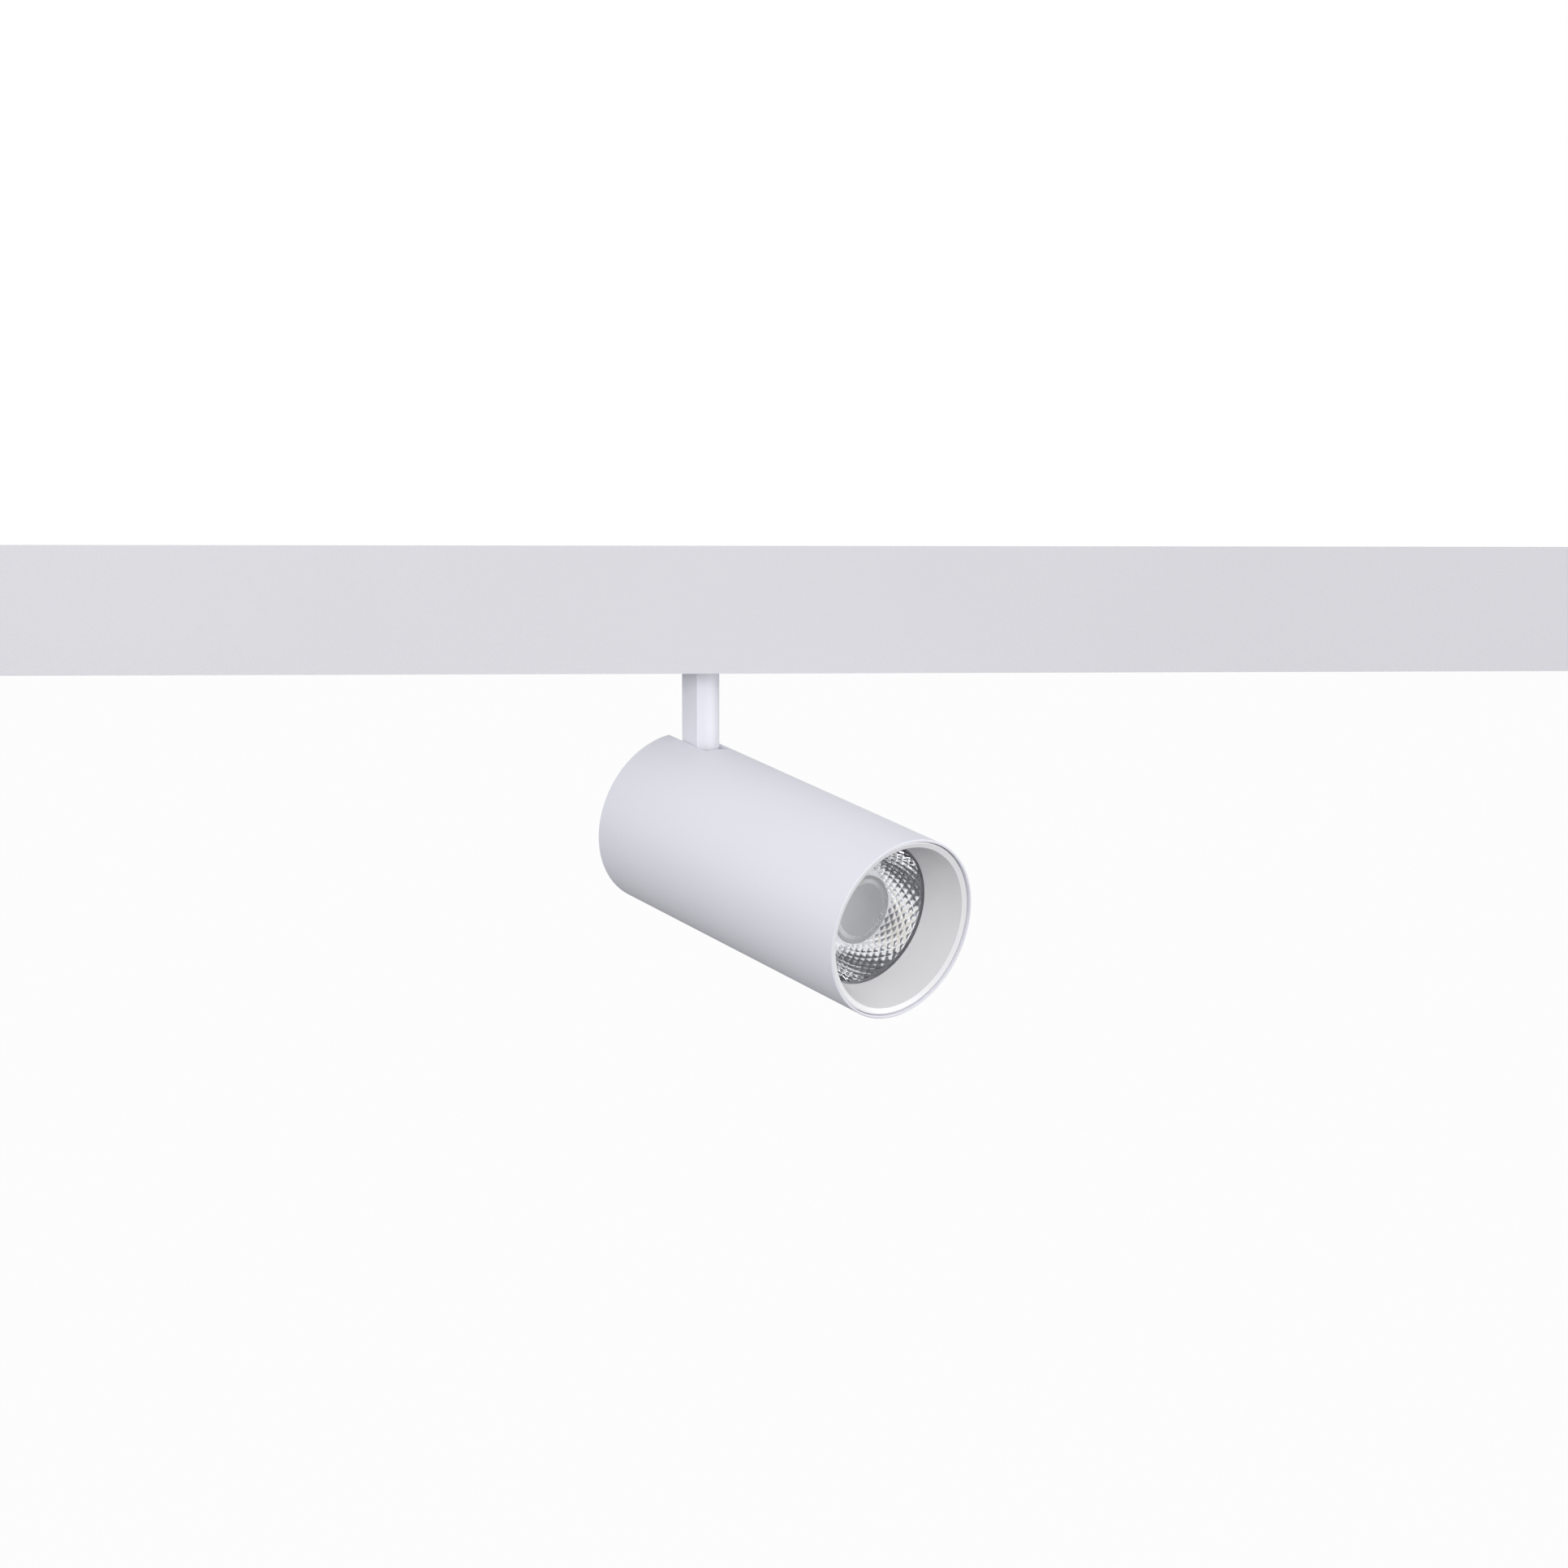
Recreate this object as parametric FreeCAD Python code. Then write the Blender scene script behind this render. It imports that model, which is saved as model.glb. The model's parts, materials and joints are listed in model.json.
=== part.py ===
import FreeCAD, Part
import math
import os

from FreeCAD import Vector

# Track spotlight: a cylindrical head tilts on a flat arm, the arm turns in an adapter,
# and the adapter slides in a 48 V magnetic surface track.
# Units are millimetres. The origin is on the track's ceiling face, on the arm's swivel axis.
# +X runs along the track, +Y towards the wall behind it, +Z up.

# ---- driving dimensions -------------------------------------------------------------------

# Track
TRACK_LENGTH = 600.0
TRACK_WIDTH = 26.0
TRACK_HEIGHT = 39.0
TRACK_WALL = 1.8
TRACK_TOP = 2.2
SHELF_DEPTH = 9.0          # ceiling face to the top of the inner shelf
SHELF_THICK = 1.8
LIP_HEIGHT = 1.6           # the inward lip at the channel's mouth
LIP_REACH = 1.0
CEILING_HOLE_SPACING = 400.0
CEILING_HOLE_R = 2.25      # clears an M4 screw
DRIVER_HOLE_R = 4.5        # lets the screw's head pass the shelf
STRIP_WIDTH = 12.0
STRIP_THICK = 1.2
LINER_THICK = 2.4
LINER_BOTTOM = 30.5        # ceiling face to the liner's lower edge
CONDUCTOR_DEPTHS = (19.0, 24.5)
CONDUCTOR_WIDTH = 2.6
CONDUCTOR_THICK = 0.8
CONDUCTOR_RECESS = 0.6
CAP_THICK = 3.0
CAP_SPIGOT = 4.0
CAP_EDGE_R = 0.8
CAP_SCREW_R = 1.1
CAP_SCREW_HEAD_R = 2.2
CAP_SCREW_HEAD = 1.2       # depth of the countersunk head
SCREW_CROSS = 0.4          # width of the cross recess in a small screw's head
FEED_LENGTH = 45.0
WIRE_ENTRY_R = 6.0
WIRE_ENTRY_PLACE = 12.0    # from the feed block's outer end
FUNNEL_DEPTH = 8.0

# Adapter
ADAPTER_LENGTH = 124.0
ADAPTER_WALL = 1.2
ADAPTER_FLOOR = 2.4
ADAPTER_RECESS = 0.6       # the floor sits this far above the track's bottom edge
FOOT_HEIGHT = 7.0          # the wider lower part between the lips
LID_THICK = 1.2
LID_BOSS_PLACE = 2.6       # from the adapter's end to the lid's screw
LID_BOSS_WIDTH = 3.2
LID_SCREW_R = 0.85
LID_SCREW_HEAD_R = 1.8
LID_SCREW_HEAD = 0.8
LID_SCREW_GRIP = 5.0       # how far it reaches into the boss
HOOK_RISE = 0.8            # the fixed hook's height over the track's lip
HOOK_THICK = 1.2
MAGNET_LENGTH = 20.0
MAGNET_WIDTH = 10.0
MAGNET_THICK = 3.0
MAGNET_PLACE = 36.0
MAGNET_RIB = 1.6           # width and height of the ribs under a magnet
MAGNET_RIB_INSET = 1.5
BOARD_THICK = 1.6
INDUCTOR_PLACE = 22.5
INDUCTOR_SIZE = 9.0
INDUCTOR_HEIGHT = 6.0
INDUCTOR_EDGE_R = 1.5
CAPACITOR_PLACES = (32.0, 40.5)
CAPACITOR_R = 3.6
CAPACITOR_HEIGHT = 7.0
CAPACITOR_EDGE_R = 0.4
CHIPS = (                  # place x, place y, length, width, height
    (10.5, 0.0, 5.0, 4.0, 1.5),
    (10.5, -4.5, 2.0, 1.2, 0.8),
    (48.5, 0.0, 5.0, 6.0, 1.2),
    (-10.0, 0.0, 6.0, 5.0, 1.4),
)
TERMINAL_THICK = 2.0
TERMINAL_WIDTH = 6.0
TERMINAL_HEIGHT = 4.6
PIN_R = 0.8
PIN_HEAD_R = 1.3
PIN_HEAD = 1.2
PIN_PLAY = 0.2             # between a pin's head and the block's wall at rest
PIN_PLACES = (-30.0, -44.0)  # front pair, rear pair along X
PIN_SPRING_TURNS = 9
CONTACT_WALL = 1.5
CONTACT_MARGIN = 5.0       # block past the outer pins
CONTACT_CROWN = 2.4        # block over the upper pins' axes
SPRING_WIRE_R = 0.2
LATCH_PLACE = 50.0
LATCH_WIDTH = 8.0
LATCH_THICK = 1.2
LATCH_REACH = 1.0
LATCH_TRAVEL = 1.4
LATCH_TAIL = 2.0           # plate past the middle plane, under the upstand
UPSTAND_THICK = 1.2
UPSTAND_HEIGHT = 3.0
NUB_INSET = 1.5
NUB_START = 1.0
NUB_LENGTH = 4.0
NUB_GROOVE = 0.5           # width of the three finger grooves, half their pitch
NUB_GROOVE_DEPTH = 0.4
LATCH_SPRING_R = 1.2
LATCH_SPRING_TURNS = 6

# Swivel and arm
STEM_R = 3.0
STEM_BORE_R = 2.0
STEM_GRIP = 9.0            # how deep the stem is screwed into the arm
STEM_PROUD = 0.6           # stem above its nut
BUSH_WALL = 1.4
BUSH_FLANGE_R = 6.8
BUSH_FLANGE = 0.8
WAVE_HEIGHT = 0.6
STOP_RING_R = 6.6
STOP_RING_THICK = 1.2
STOP_TOOTH_REACH = 1.3
STOP_TOOTH_ANGLE = 10.0
STOP_LUG_ANGLE = 9.0
STOP_FACING = -90.0        # the middle of the swivel's travel, seen from above
NUT_FLATS = 10.0
NUT_THICK = 3.4
BOARD_RISE = 0.8           # driver board over the stem's end
ARM_DROP = 50.0            # track's bottom edge to the tilt axis
ARM_WIDTH = 9.1
ARM_SETBACK = 5.0          # the back face, behind the swivel axis
ARM_FLAT = 7.1             # depth of the flat sides
ARM_NOSE = 1.5             # how far the rounded nose stands forward of them
LEAD_R = 1.4
LEAD_EXIT_RISE = 10.5      # the lead's way out of the arm, over the tilt axis
LEAD_BEND = 1.7
LEAD_TOP_BEND = 3.0

# Head
PAN_ANGLE = -54.5          # the light's heading at rest, from +X
TILT_ANGLE = 14.4          # the light's fall below the horizontal at rest
TUBE_R = 27.5
TUBE_LENGTH = 110.0
TUBE_WALL = 1.5
TUBE_EDGE = 0.25           # chamfer round the tube's ends
HINGE_TO_FRONT = 92.0
SLOT_FRONT = 0.4           # the slot's front end, forward of the tilt axis
SLOT_CORNER_R = 0.9
GRUB_R = 1.5
GRUB_LENGTH = 5.0
GRUB_SET = 0.4             # the grub screw's end inside the tube's face
GRUB_KEY = 1.5
LIP_WALL = 0.75            # the tube's thin front lip
LIP_DEPTH = 1.9
RING_RECESS = 0.7
RING_EDGE_R = 0.5          # the rounded outer edge of the baffle's white ring
RING_INNER_R = 24.75
RING_INNER_DEPTH = 1.3
CONE_END_R = 21.9
CONE_DEPTH = 14.6
CONE_WALL = 1.3
SKIRT_LENGTH = 9.6         # the part of the baffle that fits the tube's bore
LENS_FLANGE_R = 23.4
LENS_FLANGE_THICK = 1.7
LENS_HEIGHT = 21.8
LENS_BODY_R = 21.5
LENS_BASE_R = 12.6
LENS_BOWL_POWER = 0.62     # how fast the bowl opens from its base
LENS_BOWL_STEPS = 12
LED_POCKET_R = 11.4
LED_POCKET_END_R = 10.6
LED_POCKET_DEPTH = 15.4
LENS_TO_COB = 1.0
HOLDER_WALL = 1.4
HOLDER_LEDGE = 2.0
HOLDER_FOOT = 1.6
COB_SIZE = 19.0
COB_THICK = 1.4
COB_EMITTER_R = 6.0
COB_EMITTER_THICK = 0.6
PAD_THICK = 0.3
COB_HOLDER_R = 17.0
COB_HOLDER_THICK = 2.4
COB_WINDOW_R = 8.5
COB_SCREW_R = 1.1
COB_SCREW_HEAD_R = 2.1
COB_SCREW_HEAD = 1.1
SINK_BASE_THICK = 7.0
FIN_LENGTH = 32.0
FIN_THICK = 1.6
FIN_PITCH = 5.2
FIN_RELIEF = 0.4           # the fins stand this far inside the base's edge
POST_R = 3.0
POST_PLACE = 19.4
BOSS_R = 3.3
COVER_THICK = 2.4
COVER_RECESS = 0.5
COVER_EDGE = 0.4
COVER_SCREW_R = 1.4
COVER_SCREW_HEAD_R = 2.9
COVER_SCREW_HEAD = 1.4
COVER_SCREW_GRIP = 6.0
COVER_SCREW_KEY = 2.0
CHEEK_THICK = 2.0
CHEEK_R = 6.5
BRACKET_PLATE_THICK = 2.5
BRACKET_PLATE_HALF = 15.5
BRACKET_SCREW_PLACE = 11.2
BRACKET_SCREW_R = 1.25
BRACKET_SCREW_HEAD_R = 1.5
BRACKET_SCREW_HEAD = 1.7
BRACKET_SCREW_GRIP = 8.0
WASHER_THICK = 0.5
WASHER_R = 4.6
HINGE_R = 2.0
HINGE_HEAD_R = 3.8
HINGE_HEAD = 2.5
HINGE_HEAD_EDGE_R = 0.6
HINGE_KEY = 2.5
HINGE_NUT_FLATS = 7.0
HINGE_NUT_THICK = 3.2
LEAD_HOLE_Z = 14.5
LEAD_HOLE_R = 3.0

# Named clearances
FIT = 0.05                 # between pieces that are pressed or screwed together
RUN = 0.06                 # radial, on shafts that turn
SLIDE = 0.3                # between pieces that slide past each other
GAP = 0.1                  # between flat pieces that stack
RING_GAP = 0.15            # round the baffle's ring, inside the tube's lip
HOLE_PLAY = 0.2            # radial, of a screw through a clearance hole
DRILL_END = 1.0            # a blind hole past the end of its screw
SLOT_CLEAR = 0.75          # each side of the arm in the tube's slot
EYE_CLEAR = 0.5            # round the arm's eye in the rear cover's slot

# ---- places worked out from them ----------------------------------------------------------

HALF_TRACK = TRACK_LENGTH / 2
INNER_Y = TRACK_WIDTH / 2 - TRACK_WALL
LINER_Y = INNER_Y - LINER_THICK
MOUTH_Y = INNER_Y - LIP_REACH
SHELF_Z = -SHELF_DEPTH - SHELF_THICK
STRIP_Z = SHELF_Z - STRIP_THICK
LIP_TOP_Z = -TRACK_HEIGHT + LIP_HEIGHT

BODY_Y = LINER_Y - SLIDE
FOOT_Y = MOUTH_Y - SLIDE
ADAPTER_TOP_Z = STRIP_Z - GAP
ADAPTER_BOTTOM_Z = -TRACK_HEIGHT + ADAPTER_RECESS
FLOOR_Z = ADAPTER_BOTTOM_Z + ADAPTER_FLOOR
FOOT_TOP_Z = ADAPTER_BOTTOM_Z + FOOT_HEIGHT
LID_Z = ADAPTER_TOP_Z - LID_THICK
HALF_ADAPTER = ADAPTER_LENGTH / 2
INSIDE_Y = BODY_Y - ADAPTER_WALL
INSIDE_FOOT_Y = FOOT_Y - ADAPTER_WALL

FEED_OUTER_X = -HALF_TRACK + CAP_THICK + CAP_SPIGOT + GAP
FEED_INNER_X = FEED_OUTER_X + FEED_LENGTH
ENTRY_X = FEED_OUTER_X + WIRE_ENTRY_PLACE
LID_BOSS_X = HALF_ADAPTER - LID_BOSS_PLACE
MAGNET_SEAT_Z = ADAPTER_TOP_Z - MAGNET_THICK

BUSH_TOP_Z = FLOOR_Z + BUSH_FLANGE
WAVE_TOP_Z = BUSH_TOP_Z + WAVE_HEIGHT
RING_TOP_Z = WAVE_TOP_Z + STOP_RING_THICK
NUT_TOP_Z = RING_TOP_Z + NUT_THICK
STEM_TOP_Z = NUT_TOP_Z + STEM_PROUD
BOARD_Z = STEM_TOP_Z + BOARD_RISE
BOARD_TOP_Z = BOARD_Z + BOARD_THICK

HINGE_Z = -TRACK_HEIGHT - ARM_DROP
ARM_TOP_Z = ADAPTER_BOTTOM_Z - SLIDE
ARM_SHOULDER = ARM_FLAT - ARM_SETBACK
ARM_FRONT = ARM_SHOULDER + ARM_NOSE
STEM_FOOT_Z = ARM_TOP_Z - STEM_GRIP
LEAD_EXIT_Z = HINGE_Z + LEAD_EXIT_RISE

FRONT_X = HINGE_TO_FRONT
REAR_X = HINGE_TO_FRONT - TUBE_LENGTH
TUBE_INNER_R = TUBE_R - TUBE_WALL
INSERT_R = TUBE_INNER_R - GAP
LENS_X = FRONT_X - CONE_DEPTH - GAP
LENS_FLANGE_X = LENS_X - LENS_FLANGE_THICK
LENS_REAR_X = LENS_X - LENS_HEIGHT
COB_TOP_X = LENS_REAR_X - LENS_TO_COB
COB_X = COB_TOP_X - COB_THICK
SINK_X = COB_X - PAD_THICK
SINK_BACK_X = SINK_X - SINK_BASE_THICK
FIN_BACK_X = SINK_BACK_X - FIN_LENGTH
COVER_X = REAR_X + COVER_RECESS
COVER_FRONT_X = COVER_X + COVER_THICK
GRUB_X = SINK_X - SINK_BASE_THICK / 2
SLOT_HALF = ARM_WIDTH / 2 + SLOT_CLEAR
CHEEK_Y = ARM_WIDTH / 2 + WASHER_THICK + GAP
CHEEK_OUTER_Y = CHEEK_Y + CHEEK_THICK
PLATE_BACK_X = FIN_BACK_X - BRACKET_PLATE_THICK
COB_SCREW_PLACE = (COB_SIZE / 2 + COB_HOLDER_R) / 2
PIN_ROOT_Y = INSIDE_Y - GAP - CONTACT_WALL - PIN_PLAY


# ---- helpers ------------------------------------------------------------------------------

def block(x0, x1, y0, y1, z0, z1):
    """A box between two corners."""
    return Part.makeBox(x1 - x0, y1 - y0, z1 - z0, Vector(x0, y0, z0))


def rod(radius, start, end):
    """A round bar from one point to another."""
    start = Vector(*start)
    way = Vector(*end) - start
    return Part.makeCylinder(radius, way.Length, start, way)


def pipe(outer, inner, start, end):
    """A round bar with a bore right through it."""
    return rod(outer, start, end).cut(rod(inner, start, end))


def turned(outline):
    """A solid turned about the X axis from an outline of (x, radius) points."""
    points = [Vector(x, 0, r) for x, r in outline]
    wire = Part.makePolygon(points + points[:1])
    return Part.Face(wire).revolve(Vector(0, 0, 0), Vector(1, 0, 0), 360)


def sector(radius, inner, middle, width, z0, z1):
    """A piece of a ring about the Z axis, centred on the angle middle."""
    ring = pipe(radius, inner, (0, 0, z0), (0, 0, z1))
    reach = 2 * radius
    low = math.radians(middle - width / 2)
    high = math.radians(middle + width / 2)
    corners = [
        Vector(0, 0, z0),
        Vector(reach * math.cos(low), reach * math.sin(low), z0),
        Vector(reach * math.cos(high), reach * math.sin(high), z0),
        Vector(0, 0, z0),
    ]
    wedge = Part.Face(Part.makePolygon(corners)).extrude(Vector(0, 0, z1 - z0))
    return ring.common(wedge)


def hexagon(flats, axis_y, z0, z1):
    """A hexagonal bar along Z, centred on x = 0 and y = axis_y."""
    corner = flats / math.sqrt(3)
    points = [
        Vector(corner * math.cos(math.radians(a)), axis_y + corner * math.sin(math.radians(a)), z0)
        for a in range(0, 361, 60)
    ]
    return Part.Face(Part.makePolygon(points)).extrude(Vector(0, 0, z1 - z0))


def coil_y(radius, x, z, y0, y1, turns):
    """A round-wire compression spring along Y."""
    helix = Part.makeHelix((y1 - y0) / turns, y1 - y0, radius)
    wire = Part.Wire(helix.Edges)
    profile = Part.Wire(Part.makeCircle(SPRING_WIRE_R, Vector(radius, 0, 0), Vector(0, 1, 0)))
    spring = wire.makePipeShell([profile], True, True)
    spring.rotate(Vector(0, 0, 0), Vector(1, 0, 0), -90)
    spring.translate(Vector(x, y0, z))
    return spring


def panned(shape):
    """Turns a piece from the arm's own frame to its heading at rest."""
    placed = shape.copy()
    placed.rotate(Vector(0, 0, 0), Vector(0, 0, 1), PAN_ANGLE)
    return placed


def aimed(shape):
    """Moves a piece from the head's own frame, light along +X, to where it hangs at rest."""
    placed = shape.copy()
    placed.rotate(Vector(0, 0, 0), Vector(0, 1, 0), TILT_ANGLE)
    placed.rotate(Vector(0, 0, 0), Vector(0, 0, 1), PAN_ANGLE)
    placed.translate(Vector(0, 0, HINGE_Z))
    return placed


def mirrored_y(shape):
    """The same piece on the other side of the track's middle plane."""
    return shape.mirror(Vector(0, 0, 0), Vector(0, 1, 0))


def mirrored_x(shape):
    """The same piece at the other end."""
    return shape.mirror(Vector(0, 0, 0), Vector(1, 0, 0))


# ---- track --------------------------------------------------------------------------------

def track_profile():
    half_y = TRACK_WIDTH / 2
    low = -HALF_TRACK + CAP_THICK
    high = HALF_TRACK - CAP_THICK
    body = block(low, high, -half_y, half_y, -TRACK_HEIGHT, 0)
    duct = block(low, high, -INNER_Y, INNER_Y, -SHELF_DEPTH, -TRACK_TOP)
    channel = block(low, high, -INNER_Y, INNER_Y, LIP_TOP_Z, SHELF_Z)
    mouth = block(low, high, -MOUTH_Y, MOUTH_Y, -TRACK_HEIGHT, LIP_TOP_Z)
    body = body.cut([duct, channel, mouth])
    for side in (-1, 1):
        x = side * CEILING_HOLE_SPACING / 2
        hole = rod(CEILING_HOLE_R, (x, 0, -TRACK_TOP), (x, 0, 0))
        access = rod(DRIVER_HOLE_R, (x, 0, SHELF_Z), (x, 0, -SHELF_DEPTH))
        body = body.cut([hole, access])
    return body.cut(rod(WIRE_ENTRY_R, (ENTRY_X, 0, SHELF_Z), (ENTRY_X, 0, 0)))


def steel_strip():
    strip = block(FEED_INNER_X, -FEED_OUTER_X, -STRIP_WIDTH / 2, STRIP_WIDTH / 2, STRIP_Z, SHELF_Z)
    for side in (-1, 1):
        x = side * CEILING_HOLE_SPACING / 2
        strip = strip.cut(rod(DRIVER_HOLE_R, (x, 0, STRIP_Z), (x, 0, SHELF_Z)))
    return strip


def liner_front():
    low = FEED_OUTER_X
    liner = block(low, -low, -INNER_Y, -LINER_Y, -LINER_BOTTOM, SHELF_Z - GAP)
    for depth in CONDUCTOR_DEPTHS:
        z = -depth
        half = CONDUCTOR_WIDTH / 2
        groove = CONDUCTOR_RECESS + CONDUCTOR_THICK
        liner = liner.cut(block(low, -low, -LINER_Y - groove, -LINER_Y, z - half, z + half))
    return liner


def conductors_front():
    strips = []
    inner = -LINER_Y - CONDUCTOR_RECESS
    half = CONDUCTOR_WIDTH / 2
    for depth in CONDUCTOR_DEPTHS:
        strips.append(block(FEED_OUTER_X, -FEED_OUTER_X, inner - CONDUCTOR_THICK, inner,
                            -depth - half, -depth + half))
    return Part.makeCompound(strips)


def end_cap_right():
    face = HALF_TRACK - CAP_THICK
    inner = face - CAP_SPIGOT
    half_y = TRACK_WIDTH / 2
    plate = block(face, HALF_TRACK, -half_y, half_y, -TRACK_HEIGHT, 0)
    edges = [e for e in plate.Edges if e.CenterOfMass.x > HALF_TRACK - GAP]
    plate = plate.makeFillet(CAP_EDGE_R, edges)
    spigot_y = INNER_Y - GAP
    duct_plug = block(inner, face, -spigot_y, spigot_y, -SHELF_DEPTH + GAP, -TRACK_TOP - GAP)
    channel_plug = block(inner, face, -spigot_y, spigot_y, LIP_TOP_Z + GAP, SHELF_Z - GAP)
    cap = plate.fuse([duct_plug, channel_plug])
    sink = HALF_TRACK - CAP_SCREW_HEAD
    for z in cap_screw_heights():
        cap = cap.cut(rod(CAP_SCREW_R, (inner, 0, z), (HALF_TRACK, 0, z)))
        cap = cap.cut(Part.makeCone(CAP_SCREW_R, CAP_SCREW_HEAD_R, CAP_SCREW_HEAD,
                                    Vector(sink, 0, z), Vector(1, 0, 0)))
    return cap.removeSplitter()


def cap_screw_heights():
    return (-(TRACK_TOP + SHELF_DEPTH) / 2, (SHELF_Z + LIP_TOP_Z) / 2)


def end_cap_screws():
    screws = []
    sink = HALF_TRACK - CAP_SCREW_HEAD
    for z in cap_screw_heights():
        head = Part.makeCone(CAP_SCREW_R - FIT, CAP_SCREW_HEAD_R - 2 * FIT, CAP_SCREW_HEAD,
                             Vector(sink, 0, z), Vector(1, 0, 0))
        shank = rod(CAP_SCREW_R - FIT, (HALF_TRACK - CAP_THICK - CAP_SPIGOT + GAP, 0, z), (sink, 0, z))
        reach = CAP_SCREW_HEAD_R / 2
        cross = block(sink + CAP_SCREW_HEAD / 2, HALF_TRACK, -reach, reach,
                      z - SCREW_CROSS / 2, z + SCREW_CROSS / 2)
        turned_cross = cross.copy().rotate(Vector(0, 0, z), Vector(1, 0, 0), 90)
        screws.append(head.fuse(shank).cut([cross, turned_cross]))
    return Part.makeCompound(screws + [mirrored_x(s) for s in screws])


def feed_block():
    body = block(FEED_OUTER_X, FEED_INNER_X, -BODY_Y, BODY_Y, FOOT_TOP_Z, SHELF_Z - GAP)
    foot = block(FEED_OUTER_X, FEED_INNER_X, -FOOT_Y, FOOT_Y, -TRACK_HEIGHT + GAP, FOOT_TOP_Z)
    funnel = rod(WIRE_ENTRY_R, (ENTRY_X, 0, SHELF_Z - FUNNEL_DEPTH), (ENTRY_X, 0, SHELF_Z))
    return body.fuse(foot).removeSplitter().cut(funnel)


# ---- adapter ------------------------------------------------------------------------------

def adapter_housing():
    body = block(-HALF_ADAPTER, HALF_ADAPTER, -BODY_Y, BODY_Y, FOOT_TOP_Z, LID_Z)
    foot = block(-HALF_ADAPTER, HALF_ADAPTER, -FOOT_Y, FOOT_Y, ADAPTER_BOTTOM_Z, FOOT_TOP_Z)
    end = HALF_ADAPTER - ADAPTER_WALL
    room = block(-end, end, -INSIDE_Y, INSIDE_Y, FLOOR_Z, LID_Z)
    room_foot = block(-end, end, -INSIDE_FOOT_Y, INSIDE_FOOT_Y, FLOOR_Z, FOOT_TOP_Z - ADAPTER_WALL)
    shell = body.fuse(foot).cut([room, room_foot])
    hook_z = LIP_TOP_Z + GAP + HOOK_RISE
    hook = block(-HALF_ADAPTER, HALF_ADAPTER, -FOOT_Y - LATCH_REACH, -FOOT_Y, hook_z, hook_z + HOOK_THICK)
    additions = [hook]
    for side in (-1, 1):
        for edge in (-1, 1):
            rib = side * MAGNET_PLACE + edge * (MAGNET_LENGTH / 2 - MAGNET_RIB_INSET)
            half = MAGNET_RIB / 2
            additions.append(block(rib - half, rib + half, -INSIDE_Y, INSIDE_Y,
                                   MAGNET_SEAT_Z - MAGNET_RIB, MAGNET_SEAT_Z))
        boss = side * LID_BOSS_X
        half = LID_BOSS_WIDTH / 2
        additions.append(block(boss - half, boss + half, -INSIDE_Y, INSIDE_Y, FLOOR_Z, LID_Z))
    shell = shell.fuse(additions)
    lug_root = INSIDE_FOOT_Y + ADAPTER_WALL / 2
    lug = sector(lug_root, STOP_RING_R + SLIDE, STOP_FACING + 180, STOP_LUG_ANGLE, FLOOR_Z, RING_TOP_Z)
    shell = shell.fuse(lug)
    cuts = [rod(STEM_R + BUSH_WALL + FIT, (0, 0, ADAPTER_BOTTOM_Z), (0, 0, FLOOR_Z))]
    for depth in CONDUCTOR_DEPTHS:
        for place, side in zip(PIN_PLACES, (-1, 1)):
            cuts.append(rod(PIN_R + SLIDE, (place, 0, -depth), (place, side * BODY_Y, -depth)))
    for side in (-1, 1):
        x = side * LATCH_PLACE
        half = LATCH_WIDTH / 2 + SLIDE
        cuts.append(block(x - half, x + half, 0, FOOT_Y, FLOOR_Z, FLOOR_Z + LATCH_THICK + 2 * SLIDE))
        half -= NUB_INSET
        window = (NUB_START - LATCH_TRAVEL - SLIDE, NUB_START + NUB_LENGTH + SLIDE)
        cuts.append(block(x - half, x + half, *window, ADAPTER_BOTTOM_Z, FLOOR_Z))
        boss = side * LID_BOSS_X
        cuts.append(rod(LID_SCREW_R + FIT, (boss, 0, LID_Z - LID_SCREW_GRIP - DRILL_END), (boss, 0, LID_Z)))
    return shell.cut(cuts).removeSplitter()


def adapter_lid():
    lid = block(-HALF_ADAPTER, HALF_ADAPTER, -BODY_Y, BODY_Y, LID_Z, ADAPTER_TOP_Z)
    cuts = []
    for side in (-1, 1):
        x = side * MAGNET_PLACE
        half_x = MAGNET_LENGTH / 2 + FIT
        half_y = MAGNET_WIDTH / 2 + FIT
        cuts.append(block(x - half_x, x + half_x, -half_y, half_y, LID_Z, ADAPTER_TOP_Z))
        hole_r = LID_SCREW_R + HOLE_PLAY
        boss = side * LID_BOSS_X
        cuts.append(rod(hole_r, (boss, 0, LID_Z), (boss, 0, ADAPTER_TOP_Z)))
        cuts.append(Part.makeCone(hole_r, LID_SCREW_HEAD_R + GAP, LID_SCREW_HEAD,
                                  Vector(boss, 0, ADAPTER_TOP_Z - LID_SCREW_HEAD), Vector(0, 0, 1)))
    return lid.cut(cuts)


def lid_screws():
    screws = []
    top = ADAPTER_TOP_Z - FIT
    under = top - LID_SCREW_HEAD
    for side in (-1, 1):
        boss = side * LID_BOSS_X
        head = Part.makeCone(LID_SCREW_R, LID_SCREW_HEAD_R, LID_SCREW_HEAD,
                             Vector(boss, 0, under), Vector(0, 0, 1))
        shank = rod(LID_SCREW_R, (boss, 0, LID_Z - LID_SCREW_GRIP), (boss, 0, under))
        reach = LID_SCREW_HEAD_R / 2
        cross = block(boss - reach, boss + reach, -SCREW_CROSS / 2, SCREW_CROSS / 2,
                      top - LID_SCREW_HEAD / 2, top)
        screws.append(head.fuse(shank).cut(cross))
    return Part.makeCompound(screws)


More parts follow.
